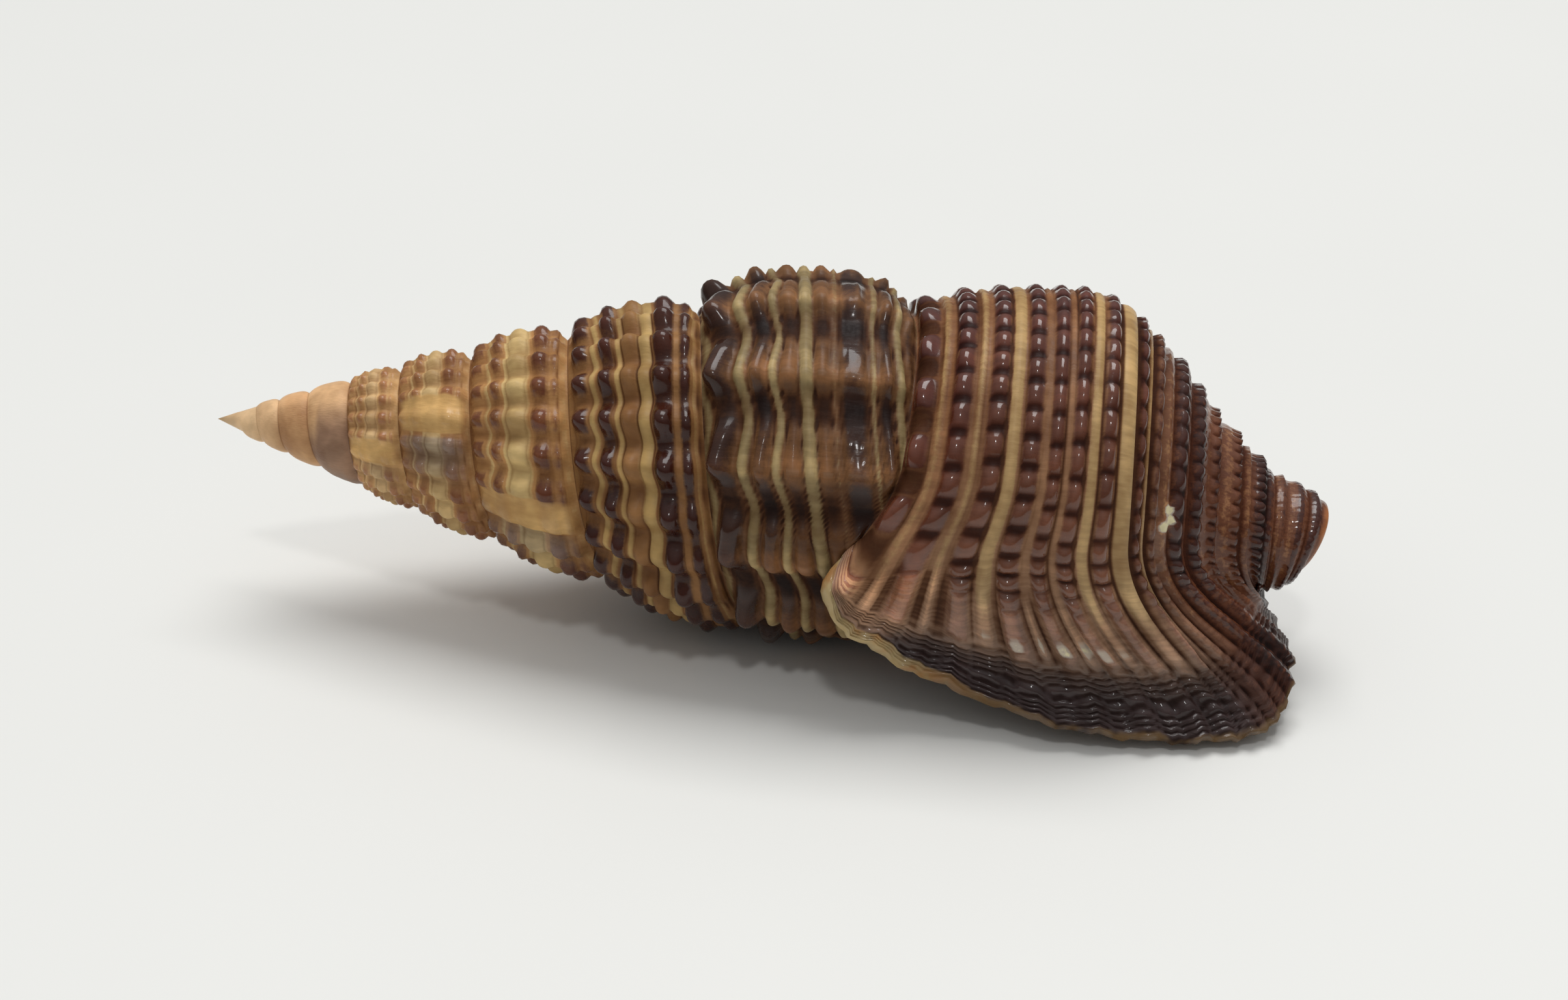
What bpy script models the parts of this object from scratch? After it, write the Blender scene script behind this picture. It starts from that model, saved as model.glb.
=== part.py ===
"""Shell of a sulcate swamp cerith, one closed solid lying on its aperture.

The outside is one helical grid: rows follow the growth angle, columns run along
the whorl from its upper suture to the siphonal spout.  The last column of a whorl
is the first column of the next, so the whorls are one skin.  The same grid flares
into the outer lip, turns over its rim and runs back inside as the aperture wall.
Lengths are in millimetres in the dimensions and become metres in the mesh.
"""
import math

import bmesh
import bpy
import numpy as np

# Driving dimensions, millimetres and turns
MM = 0.001
SHELL_LENGTH = 48.0
AXIS_TILT = 1.4
ROWS_PER_TURN = 36
WHORL_COLUMNS = 10
BASE_COLUMNS = 12
SPOUT_COLUMNS = 2
FIRST_TURN = 0.0
LIP_TURN = 9.25
FLARE_TURN = 9.222
LIP_ROWS = 11
APERTURE_DEPTH_ROWS = 14
JOIN_TURN = LIP_TURN - 1.0 + LIP_ROWS / ROWS_PER_TURN
WALL = 1.0
WING_WALL = (0.2, 0.5, 0.8)
RIB_COUNT = 18.0
COARSE_RIB_COUNT = 12.0

# Suture: turn, distance from the apex, radius
SUTURE_TURN = (0.0, 1.0, 2.0, 3.0, 4.0, 5.0, 6.0, 7.0, 7.92, 8.42, 8.92, 9.2, 9.5, 9.92, 10.6)
SUTURE_A = (0.88, 1.76, 2.78, 4.12, 5.95, 8.2, 11.3, 15.55, 20.75, 24.1, 29.8, 32.0, 35.6, 39.3, 39.8)
SUTURE_R = (0.38, 0.68, 1.03, 1.45, 2.0, 2.65, 3.42, 4.6, 5.9, 6.75, 6.6, 6.6, 7.4, 7.4, 7.5)
# Widest radius of the whorl, cords included
CREST_TURN = (0.0, 1.0, 2.42, 3.42, 4.42, 5.42, 6.42, 7.42, 7.92, 8.42, 8.56, 8.92, 9.2)
CREST_R = (0.68, 1.02, 1.68, 2.3, 3.0, 4.02, 5.3, 7.0, 7.95, 7.6, 7.8, 8.2, 8.45)
# Climb of the last suture on the whorl before it
CLIMB_TURN = (8.85, 8.92, 9.172, 9.25)
CLIMB_SHARE = (1.0, 1.0, 0.86, 0.60)
# Cord crests and furrows of a whorl, as shares of its height
CORD_SHARES = (0.0, 0.055, 0.14, 0.235, 0.33, 0.42, 0.52, 0.63, 0.75, 0.88, 1.0)
# Old lips: turn, width in turns, height
OLD_LIPS = ((4.19, 0.03, 0.12), (5.1, 0.03, 0.15), (6.29, 0.03, 0.22), (7.53, 0.03, 0.6),
            (7.97, 0.035, 0.32), (8.57, 0.035, 0.32))
# Base: distance from the apex and radius about the bent siphon's own centre line
BASE_A = (40.2, 41.1, 42.0, 42.9, 43.7, 44.6, 45.5)
BASE_R = (6.6, 6.0, 5.2, 4.25, 3.7, 3.1, 2.45)
SPOUT_A = (46.6, 47.2)
SPOUT_R = (1.95, 1.65)
SPOUT_SLANT = 0.9
SPOUT_DROP = 1.6
SPOUT_FORWARD = 0.6
# Columella side of the aperture: share of the way from the whorl to the siphon, radius
COLUMELLA_SHARE = (0.08, 0.2, 0.34, 0.5, 0.75, 1.0)
COLUMELLA_R = (6.75, 5.4, 3.8, 2.5, 1.7, 1.45)
COLUMELLA_END = 44.8

# Rim of the outer lip: place along the whorl and base, distance from the apex,
# sideways place and height over the surface that the shell lies on
AXIS_HEIGHT = 8.24
RIM_Q = (0.0, 0.055, 0.14, 0.235, 0.42, 0.63, 0.75, 0.88, 1.0, 1.17, 1.33, 1.5, 1.67, 1.83, 2.0)
RIM_A = (28.6, 27.4, 28.3, 29.7, 33.4, 38.2, 40.8, 43.0, 44.8, 46.3, 46.9, 46.95, 46.6, 46.0, 45.5)
RIM_Y = (-7.9, -8.6, -9.2, -9.0, -9.1, -9.8, -9.6, -9.35, -8.9, -8.0, -6.4, -4.6, -2.6, -0.9, 0.3)
RIM_HEIGHT = (8.0, 6.4, 4.9, 3.8, 2.1, 1.0, 0.65, 0.5, 0.5, 0.75, 1.4, 1.7, 1.6, 2.2, 3.7)
# Direction of the lip at its rim
HEADING_Q = (0.0, 0.055, 0.235, 0.42, 0.63, 0.88, 1.17, 1.5, 1.83, 2.0)
HEADING_X = (-0.3, -0.8, -0.45, -0.2, 0.0, 0.2, 0.5, 0.5, 0.1, 0.0)
HEADING_Y = (-0.3, -0.6, -0.8, -0.85, -0.8, -0.75, -0.5, 0.1, 0.8, 0.95)
HEADING_Z = (-1.0, -0.1, -0.45, -0.5, -0.6, -0.6, -0.7, -0.85, -0.5, 0.0)


def spline(x, xs, ys):
    """Cubic through stations with central slopes, limited so that it keeps their order."""
    xs, ys = np.asarray(xs, float), np.asarray(ys, float)
    step = np.diff(xs)
    rise = np.diff(ys) / step
    slope = np.empty_like(ys)
    slope[0], slope[-1] = rise[0], rise[-1]
    same = rise[:-1] * rise[1:] > 0.0
    weight = step[1:] / (step[:-1] + step[1:])
    mean = weight * rise[:-1] + (1.0 - weight) * rise[1:]
    limit = 2.5 * np.minimum(np.abs(rise[:-1]), np.abs(rise[1:]))
    slope[1:-1] = np.where(same, np.sign(mean) * np.minimum(np.abs(mean), limit), 0.0)
    x = np.asarray(x, float)
    k = np.clip(np.searchsorted(xs, x) - 1, 0, len(xs) - 2)
    t = np.clip((x - xs[k]) / step[k], -0.5, 1.5)
    h = step[k]
    return ((2 * t**3 - 3 * t**2 + 1) * ys[k] + (t**3 - 2 * t**2 + t) * h * slope[k]
            + (3 * t**2 - 2 * t**3) * ys[k + 1] + (t**3 - t**2) * h * slope[k + 1])


def natural_suture(turn):
    """Distance from the apex and radius of the suture where nothing climbs."""
    return spline(turn, SUTURE_TURN, SUTURE_A), spline(turn, SUTURE_TURN, SUTURE_R)


def climb(turn):
    """Share of the whorl before that stays in sight under the suture at this turn."""
    share = spline(np.clip(turn, CLIMB_TURN[0], CLIMB_TURN[-1]), CLIMB_TURN, CLIMB_SHARE)
    back = np.clip((turn - CLIMB_TURN[-1]) / 0.3, 0.0, 1.0)
    return share + (1.0 - share) * back * back * (3.0 - 2.0 * back)


def smoothstep(x, low, high):
    """Ease from 0 at low to 1 at high."""
    t = np.clip((x - low) / (high - low), 0.0, 1.0)
    return t * t * (3.0 - 2.0 * t)


def rib_wave(turn):
    """Cosine of the axial ribs: fine on the spire, coarse on the last whorls."""
    fine = np.cos(2.0 * math.pi * RIB_COUNT * turn)
    coarse = np.cos(2.0 * math.pi * COARSE_RIB_COUNT * turn)
    share = smoothstep(turn, 7.3, 7.6)
    return fine * (1.0 - share) + coarse * share


def relief(turn, share):
    """Height of cords, beads and old lips over the smooth whorl."""
    size = spline(turn, CREST_TURN, CREST_R)
    tall = np.minimum(0.042 * size, 0.26) * smoothstep(turn, FIRST_TURN, FIRST_TURN + 1.0)
    wave = np.interp(share, CORD_SHARES, (0.0, 0.0, 1.0, -1.0, 1.0, -1.0, 1.0, -1.0, 1.0, -0.7, 0.0))
    crest = np.clip(wave, 0.0, None)
    furrow = np.clip(wave, None, 0.0)
    fade = 1.0 - 0.45 * smoothstep(turn, 8.7, 9.0) * smoothstep(share, 0.2, 0.35)
    height = tall * fade * (crest * (0.4 + 0.6 * rib_wave(turn)) + 0.35 * furrow)
    callus = smoothstep(turn, 8.2, 8.25) * (1.0 - smoothstep(turn, 8.45, 8.55))
    callus = callus * smoothstep(share, 0.2, 0.35)
    nodules = 0.3 * smoothstep(turn, 7.5, 7.8) * np.exp(-((share - 0.13) / 0.06) ** 2)
    height = height * (1.0 - callus) + nodules
    swell = 0.0
    for at, wide, high in OLD_LIPS:
        swell = swell + high * np.exp(-((turn - at) / wide) ** 2)
    return height + swell * np.clip(1.0 - np.abs(2.0 * share - 1.0) ** 3, 0.0, 1.0)


def whorl(turn, share, rough=True):
    """Distance and radius on a whorl at a share of its height."""
    a0, r0 = suture(turn)
    a1, r1 = natural_suture(turn + 1.0)
    mean = r0 + (r1 - r0) * share
    crest = spline(turn, CREST_TURN, CREST_R)
    bulge = np.clip(0.975 * crest - 0.5 * (r0 + r1), 0.05, None)
    bulge = bulge * smoothstep(turn, FIRST_TURN, FIRST_TURN + 0.4)
    radius = mean + bulge * (1.0 - np.abs(2.0 * share - 1.0) ** 3.2)
    if rough:
        radius = radius + relief(turn, share)
    return a0 + (a1 - a0) * share, radius


def suture(turn):
    """Distance from the apex and radius of the suture, climb included."""
    turn = np.asarray(turn, float)
    a, r = natural_suture(turn)
    if np.any(turn > CLIMB_TURN[0]):
        late = np.clip(turn, CLIMB_TURN[0], None)
        a_up, r_up = whorl(late - 1.0, climb(late), rough=False)
        use = turn > CLIMB_TURN[0]
        a, r = np.where(use, a_up, a), np.where(use, r_up, r)
    return a, r


def resample(a, r, count):
    """Evenly spaced points along a profile, the first and last one kept."""
    run = np.concatenate(([0.0], np.cumsum(np.hypot(np.diff(a), np.diff(r)))))
    at = np.linspace(0.0, run[-1], count + 1)
    return spline(at, run, a), spline(at, run, r)


def base_profile(turn):
    """Columns after the whorl's own: outer base, or columella inside the aperture."""
    start_a, start_r = whorl(np.float64(turn), climb(np.float64(turn + 1.0)), rough=False)
    outer = resample(np.array((start_a,) + BASE_A), np.array((start_r,) + BASE_R), BASE_COLUMNS)
    joined = smoothstep(turn, JOIN_TURN - 0.1, JOIN_TURN)
    end_a = COLUMELLA_END + (BASE_A[-1] - COLUMELLA_END) * joined
    hollow_r = np.array((start_r,) + COLUMELLA_R)
    hollow_r[-1] += (BASE_R[-1] - hollow_r[-1]) * joined
    inner = resample(np.append(start_a, start_a + (end_a - start_a) * np.array(COLUMELLA_SHARE)),
                     hollow_r, BASE_COLUMNS)
    share = smoothstep(turn, 8.47, 8.68)
    a = inner[0] + (outer[0] - inner[0]) * share
    r = inner[1] + (outer[1] - inner[1]) * share
    cord = np.where(np.arange(BASE_COLUMNS + 1) % 2 == 0, 1.0, -1.0)
    cord[0] = cord[-1] = 0.0
    r = r + 0.13 * share * cord
    phi = 2.0 * math.pi * turn
    slant = SPOUT_SLANT * math.cos(phi + math.radians(28.0))
    a_spout = np.array(SPOUT_A) + slant * np.array((0.5, 1.0))
    return np.concatenate((a[1:], a_spout)), np.concatenate((r[1:], SPOUT_R))


def place(turn, a, r):
    """Shell coordinates: x along the axis from the apex, growth turns from +Z over -Y."""
    phi = 2.0 * math.pi * turn
    bend = smoothstep(a, 38.5, 48.0)
    return np.stack((a + 0.0 * phi, -r * np.sin(phi) - SPOUT_FORWARD * bend,
                     r * np.cos(phi) - SPOUT_DROP * bend), axis=-1)


def rim_height(a, height):
    """Shell-frame z of a point at a height over the surface that the shell lies on."""
    return height - AXIS_HEIGHT + a * math.sin(math.radians(AXIS_TILT))


def rim_point(q):
    """Point of the lip's rim at a place along it, 0 at the suture and 2 at the siphon."""
    a, y, height = (spline(q, RIM_Q, values) for values in (RIM_A, RIM_Y, RIM_HEIGHT))
    return np.stack((a, y, rim_height(a, height)), axis=-1)


def rim_heading(q):
    """Unit direction in which the lip leaves the shell at its rim."""
    heading = np.stack([spline(q, HEADING_Q, v) for v in (HEADING_X, HEADING_Y, HEADING_Z)], axis=-1)
    return heading / np.linalg.norm(heading, axis=-1, keepdims=True)


def hermite(p0, t0, p1, t1, u):
    """Cubic from p0 to p1 that leaves along t0 and arrives along t1."""
    return ((2 * u**3 - 3 * u**2 + 1) * p0 + (u**3 - 2 * u**2 + u) * t0
            + (3 * u**2 - 2 * u**3) * p1 + (u**3 - u**2) * t1)


N = ROWS_PER_TURN
M = WHORL_COLUMNS
KC = M + BASE_COLUMNS
K = KC + SPOUT_COLUMNS
END = round((LIP_TURN - FIRST_TURN) * N)
SEAM = END - N
JOIN = SEAM + LIP_ROWS
LAST = END + LIP_ROWS
FLARE = round((FLARE_TURN - FIRST_TURN) * N)
DEEP = END - APERTURE_DEPTH_ROWS
RIM_PLACES = CORD_SHARES + tuple(1.0 + k / BASE_COLUMNS for k in range(1, BASE_COLUMNS + 1))


def outside(rough):
    """Positions of the whole grid, rows by columns, before the floor cuts them."""
    points = np.zeros((LAST + 1, K + 1, 3))
    shares = np.array(CORD_SHARES)
    for i in range(LAST + 1):
        turn = FIRST_TURN + i / N
        share = shares * climb(np.float64(turn + 1.0))
        a, r = whorl(np.full(M + 1, turn), share, rough)
        end_a, end_r = whorl(np.float64(turn), share[-1], rough=False)
        a[-1], r[-1] = end_a, end_r
        start_a, start_r = suture(np.float64(turn))
        a[0], r[0] = start_a, start_r
        if i >= DEEP - N:
            more_a, more_r = base_profile(turn)
            a, r = np.concatenate((a, more_a)), np.concatenate((r, more_r))
        else:
            a, r = (np.concatenate((v, np.full(K - M, v[-1]))) for v in (a, r))
        points[i] = place(np.full(K + 1, turn), a, r)
    points[END + 1:, 0] = points[END, 0]
    flare_lip(points)
    if rough:
        raise_lip_cords(points)
    points[LAST, KC:] = points[JOIN, KC:]
    return points


def raise_lip_cords(points):
    """Cords that fan out over the flared lip, strongest at its front end."""
    normal = grid_normals(points)
    for i in range(FLARE + 1, LAST + 1):
        rise = smoothstep((i - FLARE) / (LAST - FLARE), 0.0, 0.5)
        for j in range(2, KC - 1):
            strength = 0.08 + 0.12 * smoothstep(j, M - 3, M + 2)
            points[i, j] += normal[i, j] * rise * strength * (-1.0) ** j


def flare_lip(points):
    """Lead each column off the whorl to its place on the rim."""
    for j in range(1, KC):
        p0, p1 = points[FLARE, j].copy(), rim_point(RIM_PLACES[j])
        away = points[FLARE, j] - points[FLARE - 1, j]
        reach = np.linalg.norm(p1 - p0)
        t0 = away / np.linalg.norm(away) * reach * 1.15
        t1 = rim_heading(RIM_PLACES[j]) * reach * 0.9
        middle = (END - FLARE) / (LAST - FLARE)
        middle = middle + (0.6 - middle) * math.exp(-(j - 1) / 2.0)
        for i in range(FLARE + 1, LAST + 1):
            if i <= END:
                u = middle * (i - FLARE) / (END - FLARE)
            else:
                u = middle + (1.0 - middle) * (i - END) / (LAST - END)
            points[i, j] = hermite(p0, t0, p1, t1, u)


def grid_normals(points):
    """Outward unit normals of the grid."""
    down = np.gradient(points, axis=0)
    along = np.gradient(points, axis=1)
    normal = np.cross(down, along)
    return normal / np.maximum(np.linalg.norm(normal, axis=-1, keepdims=True), 1e-9)


def build_surface():
    """Vertices and faces of the closed skin, in the shell's own frame."""
    rough, smooth = outside(True), outside(False)
    vertices, faces = [], []

    def add(point):
        vertices.append(np.asarray(point, float))
        return len(vertices) - 1

    def face(*ids):
        ring = [v for k, v in enumerate(ids) if v != ids[k - 1]]
        if len(ring) > 2:
            faces.append(ring[::-1])

    outer = np.full((LAST + 1, K + 1), -1)
    for i in range(LAST + 1):
        for j in range(K + 1):
            if j == 0:
                outer[i, j] = add(rough[i, j]) if i < N else outer[i - N, M] if i <= END else outer[END, 0]
            elif j <= M or (j <= KC and i >= DEEP - N) or (j > KC and i >= JOIN):
                outer[i, j] = outer[JOIN, j] if (i == LAST and j >= KC) else add(rough[i, j])
    for i in range(LAST):
        for j in range(K):
            if j < M or (j < KC and i >= SEAM) or i >= JOIN or (M < j < KC and DEEP - N <= i < SEAM):
                face(outer[i, j], outer[i, j + 1], outer[i + 1, j + 1], outer[i + 1, j])

    normal = grid_normals(smooth)
    inner = np.full((LAST + 1, KC + 1), -1)
    place_in = {}
    for i in range(DEEP, LAST + 1):
        inner[i, 0] = outer[min(i, END) - N, M + 1]
        inner[i, KC] = outer[i - N, KC]
        back, front = vertices[inner[i, 0]], vertices[inner[i, KC]]
        for j in range(1, KC):
            point = smooth[i, j] - WALL * normal[i, j]
            if j < 4:
                thin = smooth[i, j] - WALL * WING_WALL[j - 1] * normal[i, j]
                turned = smooth[i, 4] - WALL * normal[i, 4]
                point = back + (turned - back) * j / 4.0
                point = point + (thin - point) * smoothstep(i, END - 1, END + 3)
            if j > KC - 3:
                turned = smooth[i, KC - 3] - WALL * normal[i, KC - 3]
                point = front + (turned - front) * (KC - j) / 3.0
            place_in[i, j] = point
            inner[i, j] = add(point)
    for i in range(DEEP, LAST):
        for j in range(KC):
            face(inner[i, j], inner[i + 1, j], inner[i + 1, j + 1], inner[i, j + 1])

    lip = []
    for j in range(1, KC):
        middle = 0.5 * (rough[LAST, j] + place_in[LAST, j])
        lip.append(add(middle + 0.25 * WALL * rim_heading(RIM_PLACES[j])))
    face(outer[LAST, 0], outer[LAST, 1], lip[0])
    face(outer[LAST, 0], lip[0], inner[LAST, 1], inner[LAST, 0])
    for j in range(1, KC - 1):
        face(outer[LAST, j], outer[LAST, j + 1], lip[j], lip[j - 1])
        face(lip[j - 1], lip[j], inner[LAST, j + 1], inner[LAST, j])
    face(outer[LAST, KC - 1], outer[LAST, KC], lip[-1])
    face(lip[-1], outer[LAST, KC], inner[LAST, KC - 1])

    throat = [inner[DEEP, j] for j in range(KC + 1)] + [outer[DEEP - N, j] for j in range(KC - 1, M + 1, -1)]
    middle = np.mean([vertices[v] for v in throat], axis=0)
    hub = add(middle)
    for k, v in enumerate(throat):
        face(v, throat[(k + 1) % len(throat)], hub)

    tip = [outer[0, j] for j in range(M + 1)] + [outer[i, 0] for i in range(N - 1, 0, -1)]
    hub = add((0.0, 0.0, 0.0))
    for k, v in enumerate(tip):
        face(tip[(k + 1) % len(tip)], v, hub)

    mouth = [outer[i, K] for i in range(JOIN, LAST)]
    ring = np.array([vertices[v] for v in mouth])
    centre = ring.mean(axis=0)
    steps = [mouth]
    for scale, depth in ((0.68, 0.0), (0.5, 1.0)):
        steps.append([add(centre + (p - centre) * scale - np.array((depth, 0.0, 0.0))) for p in ring])
    for one, two in zip(steps, steps[1:]):
        for k in range(len(one)):
            n = (k + 1) % len(one)
            face(one[k], two[k], two[n], one[n])
    hub = add(centre - np.array((1.1, 0.0, 0.0)))
    for k in range(len(mouth)):
        face(steps[-1][k], hub, steps[-1][(k + 1) % len(mouth)])
    return np.array(vertices), faces


def to_floor(points):
    """Lay the shell down: tilt its axis, cut the small flats it rests on, centre it."""
    tilt = math.radians(AXIS_TILT)
    x = points[:, 0] * math.cos(tilt) + points[:, 2] * math.sin(tilt)
    z = -points[:, 0] * math.sin(tilt) + points[:, 2] * math.cos(tilt) + AXIS_HEIGHT
    laid = np.stack((x, points[:, 1], np.maximum(z, 0.0)), axis=-1)
    middle = 0.5 * (laid.min(axis=0) + laid.max(axis=0))
    laid[:, 0] -= middle[0]
    laid[:, 1] -= middle[1]
    return laid


def make_shell():
    """The shell's object, in metres."""
    points, faces = build_surface()
    laid = to_floor(points)
    mesh = bpy.data.meshes.new("shell")
    mesh.from_pydata((laid * MM).tolist(), [], [[int(v) for v in ring] for ring in faces])
    work = bmesh.new()
    work.from_mesh(mesh)
    bmesh.ops.triangulate(work, faces=work.faces[:])
    work.to_mesh(mesh)
    work.free()
    mesh.shade_smooth()
    shell = bpy.data.objects.new("shell", mesh)
    bpy.context.scene.collection.objects.link(shell)
    return shell


def shell_material():
    """Dark glossy shell."""
    material = bpy.data.materials.new("shell")
    material.use_nodes = True
    surface = material.node_tree.nodes["Principled BSDF"]
    surface.inputs["Base Color"].default_value = (0.16, 0.075, 0.035, 1.0)
    surface.inputs["Roughness"].default_value = 0.32
    surface.inputs["Metallic"].default_value = 0.0
    return material


for old in list(bpy.data.objects):
    bpy.data.objects.remove(old)
shell_object = make_shell()
shell_object.data.materials.append(shell_material())
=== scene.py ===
"""Looks of a sulcate swamp cerith shell that lies on its aperture.

The fine skin is one helical grid, grown from the same curve as the solid model: rows
follow the growth turn, columns run along the whorl from its upper suture to the siphonal
spout.  Cords, beads and old lips are raised on that grid, and the same cord table tells
the material where the pigment lies.  Lengths are millimetres in the classes and become
metres in the meshes.
"""

import logging
import math
from dataclasses import dataclass, field
from enum import Enum

import bpy
import numpy as np
from mathutils import Matrix, Vector

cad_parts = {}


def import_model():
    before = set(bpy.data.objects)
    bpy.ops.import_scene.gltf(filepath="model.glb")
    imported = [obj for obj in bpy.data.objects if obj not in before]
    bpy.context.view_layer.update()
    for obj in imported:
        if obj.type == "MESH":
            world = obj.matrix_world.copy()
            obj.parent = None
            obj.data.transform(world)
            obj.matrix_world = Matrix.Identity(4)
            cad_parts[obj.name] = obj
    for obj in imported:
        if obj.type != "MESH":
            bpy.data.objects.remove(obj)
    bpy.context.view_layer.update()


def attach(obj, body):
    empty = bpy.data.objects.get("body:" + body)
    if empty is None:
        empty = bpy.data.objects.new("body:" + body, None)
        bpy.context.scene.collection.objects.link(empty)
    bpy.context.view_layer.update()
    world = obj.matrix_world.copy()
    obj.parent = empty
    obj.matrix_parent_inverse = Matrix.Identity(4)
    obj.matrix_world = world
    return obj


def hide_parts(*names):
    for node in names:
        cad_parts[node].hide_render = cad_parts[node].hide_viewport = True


MM = 0.001
TAU = 2.0 * math.pi
LOG = logging.getLogger("shell")
Array = np.ndarray
Span = tuple[float, float]
Colour = tuple[float, float, float]
Palette = tuple[tuple[float, Colour], ...]
Socket = bpy.types.NodeSocket


def smoothstep(x: Array, low: float, high: float) -> Array:
    """Ease from 0 at low to 1 at high, as 3t^2 - 2t^3 of the share t between them.

    Args:
        x: Values to ease.
        low: Where the ramp starts.
        high: Where the ramp ends.

    Returns:
        The eased values.
    """
    t = np.clip((np.asarray(x, float) - low) / (high - low), 0.0, 1.0)
    return t * t * (3.0 - 2.0 * t)


def bell(x: Array, middle: float, width: float) -> Array:
    """Bell curve exp(-((x - middle) / width)^2), 1 at its middle."""
    return np.exp(-(((np.asarray(x, float) - middle) / width) ** 2))


def between(x: Array, rise: Span, fall: Span) -> Array:
    """1 between two changes and 0 outside, as smoothstep of one times 1 less the other's.

    Args:
        x: Values to read.
        rise: Where the first change starts and ends.
        fall: Where the second change starts and ends.

    Returns:
        The shares.
    """
    return smoothstep(x, *rise) * (1.0 - smoothstep(x, *fall))


def hermite(t: Array, start: Array, leave: Array, end: Array, arrive: Array) -> Array:
    """Cubic from one value to another with a set slope at each.

    Formula: (2t^3 - 3t^2 + 1) start + (t^3 - 2t^2 + t) leave + (3t^2 - 2t^3) end
    + (t^3 - t^2) arrive.

    Args:
        t: Shares of the way.
        start: Value at 0.
        leave: Slope at 0.
        end: Value at 1.
        arrive: Slope at 1.

    Returns:
        The values.
    """
    return (
        (2 * t**3 - 3 * t**2 + 1) * start
        + (t**3 - 2 * t**2 + t) * leave
        + (3 * t**2 - 2 * t**3) * end
        + (t**3 - t**2) * arrive
    )


@dataclass(frozen=True)
class Curve:
    """Smooth line through design stations.

    Formula: a cubic between neighbouring stations with central slopes, each held under
    2.5 times the smaller rise beside it, so that the line keeps the stations' order.

    Attributes:
        at: Places of the stations.
        value: Their values.
    """

    at: tuple[float, ...]
    value: tuple[float, ...]

    STEEPEST = 2.5
    BEYOND = 0.5

    def __call__(self, x: Array) -> Array:
        """Value of the line at each x.

        Args:
            x: Places along the line, of any shape.

        Returns:
            The values, shaped as x.
        """
        xs, ys = np.array(self.at), np.array(self.value)
        step = np.diff(xs)
        rise = np.diff(ys) / step
        slope = np.empty_like(ys)
        slope[0], slope[-1] = rise[0], rise[-1]
        share = step[1:] / (step[:-1] + step[1:])
        mean = share * rise[:-1] + (1.0 - share) * rise[1:]
        limit = self.STEEPEST * np.minimum(np.abs(rise[:-1]), np.abs(rise[1:]))
        same = rise[:-1] * rise[1:] > 0.0
        slope[1:-1] = np.where(same, np.sign(mean) * np.minimum(np.abs(mean), limit), 0.0)
        x = np.asarray(x, float)
        k = np.clip(np.searchsorted(xs, x) - 1, 0, len(xs) - 2)
        h = step[k]
        t = np.clip((x - xs[k]) / h, -self.BEYOND, 1.0 + self.BEYOND)
        return hermite(t, ys[k], h * slope[k], ys[k + 1], h * slope[k + 1])


@dataclass(frozen=True)
class GridPlan:
    """How many rows and columns the skin has, and where its parts begin."""

    rows_per_turn: int = 288
    whorl_columns: int = 64
    base_columns: int = 40
    spout_columns: int = 16
    suture_wall: int = 3
    lip_turn: float = 9.25
    flare_turn: float = 332.0 / 36.0
    lip_share: float = 11.0 / 36.0
    aperture_share: float = 14.0 / 36.0
    coarse_until: tuple[tuple[float, int], ...] = ((4.0, 4), (7.0, 2))

    @property
    def front(self) -> int:
        """Column where the base ends and the spout begins."""
        return self.whorl_columns + self.base_columns

    @property
    def columns(self) -> int:
        """Last column, the spout's end."""
        return self.front + self.spout_columns

    @property
    def end(self) -> int:
        """Row where the lip leaves the whorl before it."""
        return round(self.lip_turn * self.rows_per_turn)

    @property
    def seam(self) -> int:
        """Row one turn before the end."""
        return self.end - self.rows_per_turn

    @property
    def last(self) -> int:
        """Row of the lip's rim."""
        return self.end + round(self.lip_share * self.rows_per_turn)

    @property
    def join(self) -> int:
        """Row one turn before the rim, where the spout's ring closes."""
        return self.last - self.rows_per_turn

    @property
    def flare(self) -> int:
        """Row where the outer lip starts to flare."""
        return round(self.flare_turn * self.rows_per_turn)

    @property
    def deep(self) -> int:
        """Row of the aperture's back wall."""
        return self.end - round(self.aperture_share * self.rows_per_turn)

    def steps(self) -> list[tuple[int, int, int]]:
        """Bands of rows that share one cell size, larger on the small early whorls.

        Returns:
            First row, last row and cell size of each band.
        """
        first, bands = 0, []
        for turn, size in self.coarse_until:
            bands.append((first, round(turn * self.rows_per_turn), size))
            first = bands[-1][1]
        return bands + [(first, self.last, 1)]


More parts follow.
